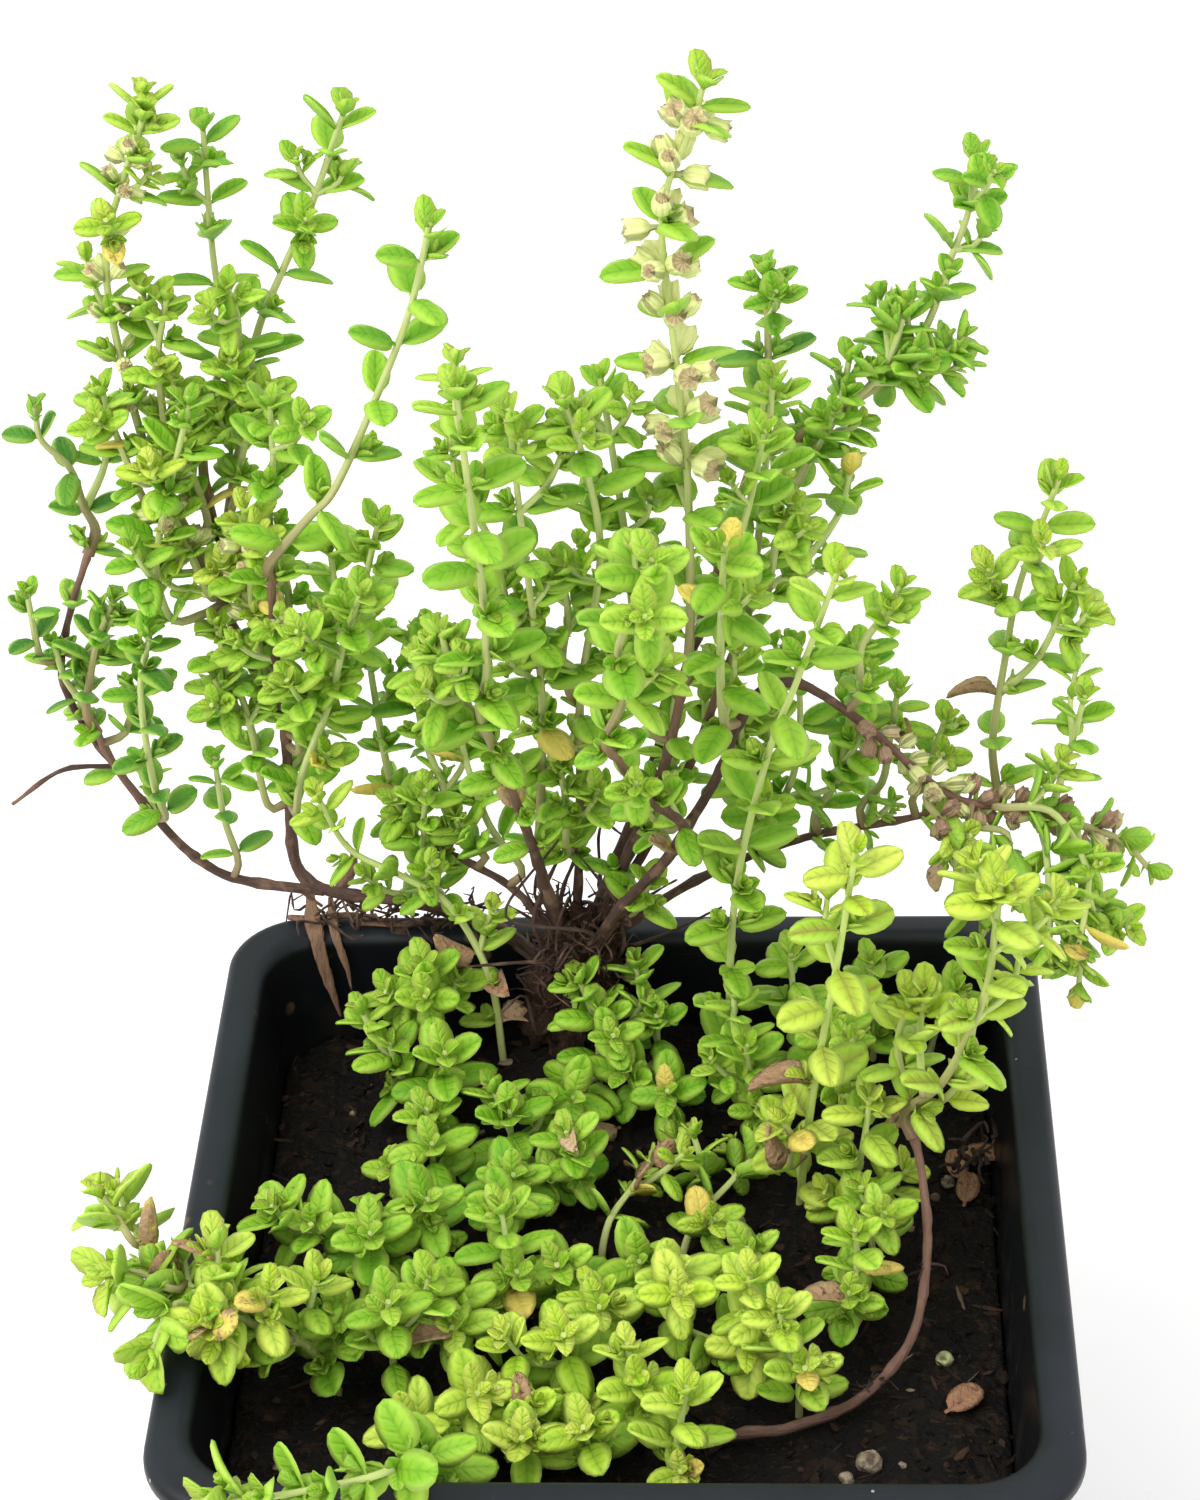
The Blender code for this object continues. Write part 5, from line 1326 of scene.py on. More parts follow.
    "middle_gap_2": Shoot("compost", (1.5, -3.5), 5.7, 3.7, [(1.6, -5.5, -7.5), (1.9, -8.5, -3)]),
    "middle_gap_3": Shoot("compost", (14, -2), 5.5, 3.7, [(13.5, -3.5, -7.5), (12.8, -5.5, -4)]),
}, "right_rosettes": {
    "right_front_rosettes": Shoot(
        "compost", (26, 0.5), 5.3, 3.5, [(25.6, 0.3, -6.5), (24.6, 0.5, -1)], [(26, 0.4, -10.5),
        (24, -6, -9.5), (23, -10.5, -7.5), (23, -13, -3)], fresh=0.15, tufts=0.4, twigs=0.25),
    "right_middle_rosettes": Shoot(
        "compost", (18.5, 29), 5.2, 3.8, [(18, 28.6, 0), (17.6, 27.5, 8)], [(18.4, 28.9, -6),
        (21.5, 24, -3), (22.5, 20, 4.5)], fresh=0.12, tufts=0.4, twigs=0.25),
    "right_foot_rosette": Shoot(
        "compost", (13, 22), 5.7, 3.9, [(13.2, 21, -5), (12.8, 19.5, 2)], twigs=0.4),
    "right_gap_1": Shoot("compost", (33, 33), 5.5, 3.9, [(34, 32.5, -6), (35.5, 31.5, 0)]),
    "right_gap_2": Shoot("compost", (27, 35), 5.7, 3.9, [(26.8, 34.5, -6), (26.5, 33.5, 2)]),
    "right_gap_3": Shoot(
        "compost", (24, 8), 5.4, 4.4, [(24.3, 6, -5), (25, 4.5, 2), (25.5, 4, 8)], fresh=0.5, tufts=0.6,
        ruddy=0.3, twigs=0.2),
}, "rim_sprays": {
    "left_rim_spray": Shoot(
        "compost", (-29, -17), 6.8, 4.4, [(-31.5, -18.3, -5), (-36, -19.4, -0.5), (-41, -19, 2.6),
        (-46.5, -15.5, 4.2), (-50.8, -8, 6.5)], [(-36, -19.4, -0.5), (-37.5, -20.8, 2),
        (-38.2, -22.3, 5)], fresh=0.3, ruddy=0.1, twigs=0.4),
    "front_rim_spray": Shoot(
        "compost", (-17, -32.5), 6.2, 3, [(-17.5, -36, -4), (-18.5, -40, 1.6), (-22, -44, 3.4),
        (-30, -46.5, 3.6), (-37, -47.5, 3.2)], fresh=0.2, tufts=0.9, twigs=0),
    "left_rim_1": Shoot(
        "left_rim_spray", 0.55, 7.4, 4.8, [(-42.5, -21.5, 4), (-44.3, -24.5, 3.6), (-45, -27.5, 3)],
        fresh=0.2, twigs=0.2),
    "left_rim_2": Shoot(
        "left_rim_spray", 0.68, 7.2, 4.8, [(-47.2, -19, 5.5), (-50.4, -20, 6)], fresh=0.3, twigs=0),
    "left_rim_3": Shoot(
        "left_rim_spray", 0.42, 6.4, 4.2, [(-38, -23, 3.5), (-38.8, -26.5, 3.5)], fresh=0.5, tufts=0.7,
        twigs=0.2),
    "left_rim_4": Shoot(
        "left_rim_spray", 0.82, 5.8, 4, [(-50, -13, 7.5), (-51.8, -11.5, 9.5)], fresh=0.4, tufts=0.6,
        twigs=0.2),
}}

# The woody stems that bear leaves too, from this share of their length on.
LEAFY_WOOD = {"centre_left": 0.42, "behind_left": 0.8, "centre": 0.6, "tall": 0.3,
              "front_arc": 0.45, "right_back": 0.58, "back": 0.35, "back_right": 0.2,
              "centre_right": 0.35, "rim_left": 0.62, "far_left": 0.45, "far_left_upper": 0.2,
              "left_inner": 0.2, "left_back": 0.3, "left_rear": 0.2}
WOOD_LEAF = 4.8
WOOD_PAIR = 6.5

# Worn leaves, by the photo's pixel at their middle: 0.5 is yellow and 1 is brown.
WORN_LEAVES = [(715, 525, 0.5), (690, 600, 0.5), (685, 635, 0.52), (300, 765, 0.5),
               (190, 855, 0.55), (555, 755, 0.5), (440, 765, 0.5), (645, 1205, 0.4),
               (800, 1150, 0.5), (515, 1310, 0.55), (660, 1090, 0.45), (1065, 1000, 0.55),
               (1080, 950, 0.5), (580, 690, 0.9), (650, 845, 0.8), (505, 805, 0.75),
               (150, 1225, 0.75), (160, 1275, 0.8), (185, 1265, 0.78), (105, 1240, 0.9),
               (215, 1310, 0.62), (190, 1340, 0.72), (240, 1300, 0.6), (790, 1390, 0.5),
               (885, 1275, 0.55), (900, 1265, 0.5), (685, 1470, 0.55), (690, 1200, 0.5),
               (925, 880, 1.0), (900, 720, 1.0), (970, 690, 1.0), (855, 1050, 0.4),
               (260, 600, 0.55), (95, 250, 0.6), (430, 1345, 0.9),
               (520, 1385, 0.95), (420, 1320, 0.7), (755, 1400, 0.5), (1040, 1015, 0.75),
               (845, 480, 0.45), (230, 490, 0.5), (120, 455, 0.45), (375, 780, 0.45),
               (465, 957, 1.0), (492, 985, 1.0), (510, 1028, 1.0), (580, 1140, 0.9),
               (625, 1175, 0.9), (665, 1145, 0.85), (755, 1155, 0.9), (1035, 1000, 0.9),
               (770, 1075, 0.9), (830, 1290, 0.95), (795, 1230, 0.95), (1095, 945, 0.5),
               (1070, 970, 0.6)]
WORN_REACH = 20.0
WORN_LENGTH = 3.2
WITHERED_FROM = 0.8
SEED = 5


def leaf_half_width(along):
    """Half the width of a leaf one unit long and wide, with a short stalk and a blunt tip."""
    blade = max(0.0, (along - LEAF_STALK) / (1 - LEAF_STALK))
    return max(0.07 * (1 - blade), 0.5 * max(0.0, 1 - abs(2 * blade ** 0.88 - 1) ** 2.2) ** 0.54)


def blade_point(along, side, lift, form):
    """A point of a leaf: its share along the rib, its share to the edge and its side."""
    fold, arch, curl, twist = form
    half = leaf_half_width(along)
    out = abs(side)
    keel = 0.45 * math.exp(-(side / 0.3) ** 2) if lift < 0 else 0.0
    y = side * half
    z = half * (fold * out + 0.07 * math.sin(math.pi * out) - curl * out ** 3)
    z += lift * LEAF_THICKNESS * (0.5 * (1 - side * side) + keel)
    turn = twist * along
    y, z = y * math.cos(turn) - z * math.sin(turn), y * math.sin(turn) + z * math.cos(turn)
    return Vector((along, y, z - 1.5 * arch * max(0.0, along - 0.15) ** 2))


def lay_sheet(mesh, sheet, spots):
    """Fills in a UV map from the place of each point on it."""
    for face in mesh.faces:
        for loop in face.loops:
            loop[sheet].uv = spots[loop.vert]


def leaf_shape(name, stations, steps, form):
    """A closed leaf one mm long. Its UV map runs across it and along it."""
    mesh = bmesh.new()
    under = mesh.verts.layers.float.new("under")
    sheet = mesh.loops.layers.uv.new("blade")
    spots, rows = {}, []
    above = [k / steps for k in range(-steps, steps + 1)]
    below = [-1.0, 0.0, 1.0]
    for along in stations:
        tip = along == stations[-1]
        row = {}
        for lift, across in ((1, above), (-1, below)):
            for side in across:
                key = (0.0, 0) if tip else (side, 0 if abs(side) == 1 else lift)
                if key not in row:
                    point = blade_point(along, 0.0 if tip else side, 0 if tip else lift, form)
                    vert = mesh.verts.new(point)
                    vert[under] = 0.5 if key[1] == 0 else (lift < 0)
                    spots[vert] = (0.5 + key[0] / 2, along)
                    row[key] = vert
        rows.append(row)

    def at(i, side, lift):
        return rows[i].get((side, lift)) or rows[i].get((side, 0)) or rows[i][(0.0, 0)]

    for i in range(len(stations) - 1):
        for lift, across in ((1, above), (-1, below)):
            for a, b in zip(across, across[1:]):
                ring = [at(i, a, lift), at(i + 1, a, lift), at(i + 1, b, lift), at(i, b, lift)]
                mesh.faces.new(dict.fromkeys(ring if lift > 0 else reversed(ring)))
    mesh.faces.new([at(0, side, 1) for side in above] + [at(0, 0.0, -1)])
    lay_sheet(mesh, sheet, spots)
    return new_piece(name, mesh, leaf_skin)


def leaf_finish(name, dry=0.0):
    """Soft green skin: paler at the edges and underneath, with painted shade along the sunken rib and
    veins and in the trough of the blade, and a darker painted shade where young is below 0.
    """
    finish = Finish(name)
    blade = finish.add("ShaderNodeUVMap", {"uv_map": "blade"})
    out = abs(finish.part(blade, "X") * 2.0 - 1.0)
    along = finish.part(blade, "Y")
    young, tint, under = finish.carried("young"), finish.carried("tint"), finish.carried("under")
    worn, ruddy = finish.carried("worn") + dry, finish.carried("woody")
    patches = finish.noise(1.5, 3.0)
    dimples = finish.noise(0.28, 2.0)
    rib = finish.between(out, 0.16, 0.0)
    middle = finish.between(out, 0.75, 0.0)
    edge = finish.between(out, 0.35, 1.0)
    veins = ((along * 5.0 - out * 1.3) * math.tau).waves() ** 4.0 * finish.between(out, 0.95, 0.3)
    green = finish.mix(tint, rgb(0.14, 0.375, 0.014), rgb(0.295, 0.57, 0.03))
    fresh = finish.mix(tint, rgb(0.53, 0.7, 0.036), rgb(0.76, 0.835, 0.14))
    colour = finish.mix(young + (patches - 0.5) * 0.4, green, fresh)
    # Leaves whose young value is below 0 get a dark green painted shade.
    colour = finish.mix(finish.between(young, 0.0, -0.4), colour, rgb(0.06, 0.2, 0.03))
    colour = finish.mix(edge * 0.48, colour, rgb(0.52, 0.67, 0.11))
    # Painted shade in the sunken rib and veins and along the trough in the middle of the blade.
    colour = finish.mix(middle * 0.22 + rib * 0.2 + veins * 0.12, colour, rgb(0.085, 0.3, 0.01))
    colour = finish.mix(finish.between(out, 0.45, 0.0) * ruddy * 0.8, colour, rgb(0.38, 0.19, 0.07))
    colour = finish.mix(under * 0.5, colour, rgb(0.37, 0.61, 0.1))
    yellow = finish.between(worn + (patches - 0.5) * 0.35, 0.12, 0.42)
    colour = finish.mix(yellow, colour, rgb(0.76, 0.61, 0.13))
    brown = finish.between(worn + (patches - 0.5) * 0.7, 0.58, 0.74)
    tan = finish.mix(tint * 0.6 + patches * 0.4 - veins * 0.2, rgb(0.34, 0.18, 0.1), rgb(0.7, 0.5, 0.29))
    colour = finish.mix(brown, colour, tan)
    spots = finish.between(finish.noise(0.9, 3.0), 0.6, 0.68) * finish.between(worn, 0.35, 0.8)
    colour = finish.mix(spots * 0.8, colour, rgb(0.11, 0.055, 0.03))
    rough = 0.44 + patches * 0.14 + brown * 0.25
    crumpled = brown * finish.noise(0.6, 3.0) * 5.0
    bumps = dimples * 0.6 + patches * 0.5 - rib * 0.6 - veins * 0.6 + crumpled
    return finish.coat(colour, rough, 0.26, bumps, 0.1, Subsurface_Weight=0.3,
                       Subsurface_Radius=(0.55, 1.0, 0.2), Subsurface_Scale=0.7 * MM)


def stem_finish():
    """Cream-green stems, streaked along their length, brown where they turn to wood."""
    finish = Finish("green_stem")
    young, woody = finish.carried("young"), finish.carried("woody")
    streaks = finish.noise(0.5, 3.0, round_stem(finish, 0.12))
    hairs = finish.noise(0.16, 2.0)
    colour = finish.mix(streaks, rgb(0.42, 0.52, 0.13), rgb(0.7, 0.76, 0.34))
    colour = finish.mix(young * 0.7, colour, rgb(0.6, 0.76, 0.17))
    wood = finish.mix(streaks, rgb(0.17, 0.08, 0.055), rgb(0.36, 0.22, 0.14))
    colour = finish.mix(woody, colour, wood)
    return finish.coat(colour, hairs * 0.3 + 0.45, 0.35, streaks + hairs * 0.6, 0.12)


def calyx_finish():
    """Pale ribbed cups, closed by the brown remains of their flowers, which dry to brown."""
    finish = Finish("calyx")
    blade = finish.add("ShaderNodeUVMap", {"uv_map": "blade"})
    around, along = finish.part(blade, "X"), finish.part(blade, "Y")
    ribs = (around * (10.0 * math.tau)).waves()
    inside, worn = finish.carried("under"), finish.carried("worn")
    patches = finish.noise(0.9, 3.0)
    colour = finish.mix(patches, rgb(0.64, 0.71, 0.21), rgb(0.92, 0.89, 0.48))
    colour = finish.mix(ribs * 0.14, colour, rgb(0.43, 0.57, 0.13))
    colour = finish.mix(finish.between(along, 0.88, 1.0) * 0.4, colour, rgb(0.48, 0.25, 0.15))
    colour = finish.mix(inside * 0.65, colour, rgb(0.5, 0.3, 0.18))
    dried = finish.mix(patches, rgb(0.26, 0.13, 0.085), rgb(0.6, 0.4, 0.27))
    colour = finish.mix(finish.between(worn + (patches - 0.5) * 0.4, 0.4, 0.8), colour, dried)
    return finish.coat(colour, patches * 0.2 + 0.55, 0.3, ribs + patches, 0.12, Subsurface_Weight=0.2,
                       Subsurface_Radius=(1.0, 0.9, 0.4), Subsurface_Scale=0.5 * MM)


def calyx_shape(name, mouth, teeth):
    """A ribbed cup one mm long along +X, with five teeth and a withered flower in its mouth."""
    mesh = bmesh.new()
    under = mesh.verts.layers.float.new("under")
    sheet = mesh.loops.layers.uv.new("blade")
    lip = 5
    sections = [(0.0, 0.06), (0.2, 0.08), (0.3, 0.2), (0.48, 0.29), (0.72, 0.28), (0.84, mouth),
                (0.8, mouth * 0.8), (0.92, 0.09)]
    rings = []
    for row, (along, radius) in enumerate(sections):
        ring = []
        for i in range(10):
            angle = math.tau * i / 10
            tooth = teeth if row == lip and i % 2 == 0 else 0.0
            wide = radius * (1 + tooth)
            ring.append((along + tooth, wide * math.cos(angle), wide * math.sin(angle)))
        rings.append(ring)
    spots = {}
    for row, ring in enumerate(loft(mesh, rings)):
        for i, vert in enumerate(ring):
            vert[under] = row > lip
            spots[vert] = (i / 10, vert.co.x)
    bmesh.ops.recalc_face_normals(mesh, faces=mesh.faces)
    lay_sheet(mesh, sheet, spots)
    return new_piece(name, mesh, leaf_skin)


def shoot_tree():
    """Sweeps the stems, and sets a leaf or a calyx out at each of the loose points."""
    nodes, given = geometry_tree("leafy_shoot", {"Stem thickness": "Float", "Stem roundness": "Float",
                                                 "Leaves": "Collection", "Calyxes": "Collection",
                                                 "Stem finish": "Material", "Leaf finish": "Material",
                                                 "Calyx finish": "Material"})
    kind = attribute(nodes, "kind")
    outgrowths = nodes.add("GeometryNodeSeparateGeometry", {},
                           {"Geometry": given["Geometry"], "Selection": kind > 0.5})
    stems = Output(nodes, outgrowths.socket.node.outputs[1])
    calyxes = nodes.add("GeometryNodeSeparateGeometry", {},
                        {"Geometry": outgrowths, "Selection": kind > 1.5})
    leaves = Output(nodes, calyxes.socket.node.outputs[1])
    square = nodes.add("GeometryNodeCurvePrimitiveQuadrilateral", {},
                       {"Width": given["Stem thickness"], "Height": given["Stem thickness"]})
    profile = nodes.add("GeometryNodeFilletCurve", {"mode": "POLY"},
                        {"Curve": square, "Count": 2,
                         "Radius": given["Stem thickness"] * given["Stem roundness"]})
    turn = nodes.add("FunctionNodeEulerToRotation", {}, {0: attribute(nodes, "turn", "FLOAT_VECTOR")})
    made = [made_real(nodes, swept_stems(nodes, stems, profile), given["Stem finish"])]
    for points, shapes, finish in ((leaves, "Leaves", "Leaf finish"),
                                   (calyxes, "Calyxes", "Calyx finish")):
        kinds = nodes.add("GeometryNodeCollectionInfo", {},
                          {"Collection": given[shapes], "Separate Children": True,
                           "Reset Children": True})
        set_out = nodes.add("GeometryNodeInstanceOnPoints", {},
                            {"Points": points, "Instance": kinds, "Pick Instance": True,
                             "Instance Index": attribute(nodes, "shape"), "Rotation": turn,
                             "Scale": attribute(nodes, "size", "FLOAT_VECTOR")})
        made.append(made_real(nodes, set_out, given[finish]))
    give_out(nodes, made)
    return nodes


def leaning(aim, outward, lean):
    """A direction that leans from one way towards another by an angle."""
    return math.cos(lean) * aim + math.sin(lean) * outward


def outgrowth(growth, place, length, face, size, **values):
    """Adds a leaf or a calyx, if it is clear of the pot, with its face turned to the light."""
    width = (face + LIGHT_FROM * TURN_TO_LIGHT).cross(length).normalized()
    face = length.cross(width)
    reach = [place + length * size[0] * share + width * size[1] * side
             for share, side in ((1.0, 0.0), (0.6, 0.45), (0.6, -0.45))]
    if not free_place(reach):
        return False
    turn = Matrix((length, width, face)).transposed().to_euler()
    growth.put(place, turn=tuple(turn), size=size, middle=length * size[0] / 2, **values)
    return True


def add_leaf(growth, place, aim, outward, spread, length, shapes, draw, **values):
    """A leaf at a stem, lifted a little at a time where it would touch the pot."""
    width = length * LEAF_WIDTH_SHARE * draw.uniform(0.9, 1.12)
    for lift in (0.0, 0.35, 0.7):
        along = leaning(aim, outward, math.radians(spread) - lift)
        face = along.cross(aim.cross(outward))
        if outgrowth(growth, place, along, face, (length, width, length), kind=Growth.KINDS["leaf"],
                     shape=draw.choice(shapes), tint=draw.random(), **values):
            return


def new_leaves(growth, place, aim, side, leaf, young, draw):
    """A tuft of small new leaves in a leaf joint: one to three crosswise pairs."""
    up = side.cross(aim)
    pairs = draw.choice((1, 2, 2, 3))
    for i in range(pairs):
        length = leaf * draw.uniform(0.36, 0.5) * (1 - 0.16 * i)
        for sign in (-1, 1):
            outward = sign * (up if i % 2 else side)
            spread = 44 - 9 * i + draw.uniform(-12, 12)
            add_leaf(growth, place + aim * (0.4 + 0.7 * i), aim, outward, spread, length, new_shapes,
                     draw, young=min(1.0, young + 0.06 + 0.08 * i))


def twig(growth, place, aim, outward, leaf, pair, habit, draw):
    """A short side shoot from a leaf joint, which turns up as it grows."""
    fresh, tufts, ruddy, _ = habit
    length = draw.uniform(*TWIG_LENGTH)
    start = leaning(aim, outward, math.radians(draw.uniform(*TWIG_LEAN)))
    later = (start + Vector((draw.uniform(-0.4, 0.4), draw.uniform(-0.4, 0.4), 0.7))).normalized()
    middle = place + start * length * 0.5
    path = Path([place, middle, middle + later * length * 0.5])
    if not free_place([middle, path.places[-1]]):
        return
    growth.stem(path, radius=lambda d: 0.42 - 0.12 * d / path.length, tint=draw.random(), young=fresh)
    leaf_out(growth, path, leaf * draw.uniform(0.7, 0.95), pair * 0.72, 1.2,
             Habit(min(1.0, fresh + 0.06), tufts * 0.5, ruddy, 0.0), draw)


def leaf_out(growth, path, leaf, pair, bare, habit, draw, tip=True):
    """Sets out the leaf pairs of a stem from its tip down, wider apart and more open as they grow."""
    fresh, tufts, ruddy, twigs = habit
    distance, index = path.length - 0.4, 0 if tip else GROWN_AGE
    joints = []
    while distance > bare:
        place, aim, side, across = path.at(distance)
        age = min(index, GROWN_AGE)
        newness = math.exp(-(path.length - distance) / 3.0) if tip else 0.0
        joints.append(distance)
        for half in (0, 1):
            turn = index * math.pi / 2 + half * math.pi + draw.uniform(-0.22, 0.22)
            outward = leaning(side, across, turn)
            spread = SPREADS[age] + draw.uniform(-10, 10)
            length = leaf * TIP_LENGTHS[age] * draw.uniform(0.84, 1.06)
            young = min(1.0, fresh * draw.uniform(0.4, 1.1) + (0.3 + 1.3 * max(0.0, fresh)) * newness)
            shapes = grown_shapes if index > 1 else new_shapes
            add_leaf(growth, place, aim, outward, spread, length, shapes, draw, young=young,
                     woody=ruddy * age / GROWN_AGE * draw.uniform(0.3, 1.0))
            if index > 2 and draw.random() < twigs:
                twig(growth, place, aim, outward, leaf, pair, habit, draw)
            elif index > 1 and draw.random() < tufts:
                tilt = leaning(aim, outward, math.radians(draw.uniform(*TUFT_LEAN)))
                new_leaves(growth, place + outward * 0.4, tilt, aim.cross(outward).normalized(), leaf,
                           young, draw)
        distance -= pair * TIP_GAPS[age] * draw.uniform(0.9, 1.1)
        index += 1
    return joints


def ring_of_calyxes(growth, path, distance, count, worn, size, draw):
    """Calyxes that stand out round a stem, each a little off its even place."""
    place, aim, side, across = path.at(distance)
    start = draw.uniform(0, math.tau)
    for i in range(count):
        turn = start + math.tau * i / count + draw.uniform(-0.35, 0.35)
        outward = leaning(side, across, turn)
        along = leaning(aim, outward, math.radians(draw.uniform(*CALYX_SPREAD)))
        long, wide = size * draw.uniform(0.85, 1.1), size * draw.uniform(0.9, 1.15)
        outgrowth(growth, place + outward * 0.3 + aim * draw.uniform(-0.6, 1.0), along,
                  along.cross(aim.cross(outward)), (long, wide, wide), kind=Growth.KINDS["calyx"],
                  shape=draw.choice((0, 0, 1)), tint=draw.random(), worn=draw.uniform(0.6, 1.2) * worn)


# The calyxes of each flowering shoot: how many in a ring, how dry and how long. Then the rings of
# dried ones on the arching stem: how far along it, how many and how dry.
DRY_CALYX = 2.7
SMALL_CALYXES = ((4, 5), 0.1, 3.1)
CALYXES_OF = {"tall_flowering_shoot": ((4, 5), 0.12, 3.9),
              "left_flowering_shoot": ((3, 4), 0.25, 2.8),
              "right_spray": ((4, 5), 0.85, DRY_CALYX), "dry_heads": ((4, 5), 0.85, DRY_CALYX)}
CALYX_SPREAD = (36, 96)
CALYX_RINGS = [(0.69, 2, 0.9), (0.74, 3, 0.8), (0.775, 1, 0.5), (0.81, 3, 0.2), (0.84, 3, 0.5),
               (0.865, 4, 0.1), (0.9, 3, 0.15), (0.93, 4, 0.9), (0.96, 4, 0.8), (0.99, 4, 1.0)]


def foot_of(shoot, carriers):
    """Where a shoot starts, and one more point that sets its direction there."""
    if shoot.carrier == "compost":
        x, y = shoot.where
        surface = compost_height(x, y)
        return [(x, y, surface - ROOT_DEPTH + GAP), (x, y, surface - 1), (x, y, surface + 1)]
    path = carriers[shoot.carrier]
    place, tangent, _, _ = path.at(shoot.where * path.length)
    place = place - Vector((0, 0, POT_HEIGHT))
    if shoot.where == 1.0:
        return [tuple(place - tangent), tuple(place + tangent * 2)]
    aim = (Vector(shoot.path[0]) - place).normalized()
    aim = (aim - aim.dot(tangent) * tangent).normalized()
    return [tuple(place), tuple(place + aim * 2.5)]


def green_radius(path, foot):
    """The radius along a green stem, which thins quickly from the wood and then slowly."""
    def radius(distance):
        plain = GREEN_STEM_RADIUS + (GREEN_TIP_RADIUS - GREEN_STEM_RADIUS) * distance / path.length
        return plain + (foot - GREEN_STEM_RADIUS) * math.exp(-distance / 5)
    return radius


def grow_shoot(growth, name, shoot, carriers):
    """Grows the stem of a shoot and those of its side shoots, with their leaves and calyxes."""
    for i, points in enumerate([foot_of(shoot, carriers) + shoot.path, *shoot.sides]):
        draw = random.Random(f"{SEED} {name} {i}")
        path = Path([from_rim(p) for p in points])
        carriers.setdefault(name, path)
        main = i == 0
        from_wood = main and shoot.where == 1.0
        foot = WOODY_FOOT_RADIUS if from_wood else GREEN_STEM_RADIUS
        browning = BROWNING_ON_WOOD if from_wood else BROWNING if main else 0.01
        growth.stem(path, radius=green_radius(path, foot), tint=draw.random(), young=shoot.habit.fresh,
                    woody=lambda d, b=browning: math.exp(-d / b))
        bare = BARE_FOOT + (ROOT_DEPTH if main and shoot.carrier == "compost" else 0.0)
        joints = leaf_out(growth, path, shoot.leaf, shoot.pair, bare, shoot.habit, draw)
        if main and shoot.whorls:
            counts, worn, size = CALYXES_OF.get(name, SMALL_CALYXES)
            for distance in joints[3:3 + shoot.whorls]:
                ring_of_calyxes(growth, path, distance, draw.choice(counts), worn, size, draw)


def wear_leaves(growths):
    """Turns the leaf that each worn spot of the photo shows yellow or brown."""
    for across, down, worn in WORN_LEAVES:
        found = []
        for growth in growths:
            for place, row in zip(growth.places, growth.rows):
                if row["kind"] == Growth.KINDS["leaf"] and row["size"][0] > WORN_LENGTH:
                    x, y, depth = in_photo(place + row["middle"])
                    away = math.hypot(x - across, y - down)
                    if away < WORN_REACH:
                        found.append((away * 0.3 + depth, row["tint"], row))
        if found:
            row = min(found, key=lambda item: item[:2])[2]
            row["worn"] = worn
            if worn > WITHERED_FROM:
                row["shape"] = withered_shapes[across % 2]


def grow_leafy_pieces():
    """Every leafy piece with its shoots, and one more with the leaves on the old wood."""
    carriers = {name: Path([from_rim(p) for p in stem[0]]) for name, stem in WOODY_STEMS.items()}
    carriers["runner"] = Path([from_rim(p) for p in ARCHING_RUNNER[0]])
    growths = {}
    for piece, shoots in LEAFY_PIECES.items():
        growths[piece] = Growth()
        for name, shoot in shoots.items():
            grow_shoot(growths[piece], name, shoot, carriers)
    draw = random.Random(SEED)
    arch = carriers["arching_right"]
    for share, count, worn in CALYX_RINGS:
        ring_of_calyxes(growths["right_hanging_stems"], arch, share * arch.length, count, worn,
                        DRY_CALYX, draw)
    growths["leaves_on_wood"] = Growth()
    for name, share in LEAFY_WOOD.items():
        path = carriers[name]
        leaf_out(growths["leaves_on_wood"], path, WOOD_LEAF, WOOD_PAIR, share * path.length, Habit(),
                 random.Random(f"{SEED} {name}"), tip=False)
    wear_leaves(growths.values())
    return growths


def finish_growth(name, growth, skin):
    """The piece that a growth makes. What only the tree reads is dropped from its mesh."""
    thing = growth.as_object(name)
    shape_by(thing, shoots_nodes, {"Stem thickness": STEM_THICKNESS * MM,
                                   "Stem roundness": STEM_ROUNDNESS, "Leaves": leaf_kinds,
                                   "Calyxes": calyx_kinds, "Stem finish": stem_skin,
                                   "Leaf finish": skin, "Calyx finish": calyx_skin})
    for label in ("kind", "shape", "radius", "turn", "size"):
        if label in thing.data.attributes:
            thing.data.attributes.remove(thing.data.attributes[label])
    return thing


leaf_skin, stem_skin, calyx_skin = leaf_finish("thyme_leaf"), stem_finish(), calyx_finish()
forms = [(form, LEAF_STATIONS, 2) for form in GROWN_FORMS]
forms += [(form, SMALL_STATIONS, 1) for form in NEW_FORMS]
forms += [(form, LEAF_STATIONS, 2) for form in WITHERED_FORMS]
leaf_kinds = into_collection("leaf_shapes", [leaf_shape(f"leaf_shape_{i}", stations, steps, form)
                                             for i, (form, stations, steps) in enumerate(forms)])
calyx_kinds = into_collection("calyx_shapes", [calyx_shape("calyx_shape_0", 0.29, 0.12),
                                               calyx_shape("calyx_shape_1", 0.2, 0.09)])
grown_shapes = range(len(GROWN_FORMS))
new_shapes = range(len(GROWN_FORMS), len(GROWN_FORMS) + len(NEW_FORMS))
withered_shapes = range(len(GROWN_FORMS) + len(NEW_FORMS), len(forms))
shoots_nodes = shoot_tree()

for piece_name, growth in grow_leafy_pieces().items():
    piece = finish_growth(piece_name, growth, leaf_skin)
    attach(piece, "root")
    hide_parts(*[name for name in LEAFY_PIECES.get(piece_name, {}) if not name[-1].isdigit()])


# The fallen leaves: thyme leaves that have dropped, dried to a pale tan and curled, and browner ones
# by the right wall. They lie loose on the compost, where they fell.

FALLEN_LENGTH = 4.8
FALLEN_LIFT = 0.7
BROWN_PAST = 30.0
DRYNESS = 0.78
MORE_FALLEN = [(-19, 40, 160), (-3, 20.5, 200), (4.5, 18.5, 60), (13.5, 17, 10), (15.5, 29, 80),
               (-18, 17, 300), (38, 13.5, 20), (35.5, 16, 100), (39.5, 10, 240), (-17, -3, 30),
               (20, -32, 110), (29, 24, 50), (-3, 8, 250), (36.5, 12, 75), (38.5, 17.5, 200)]


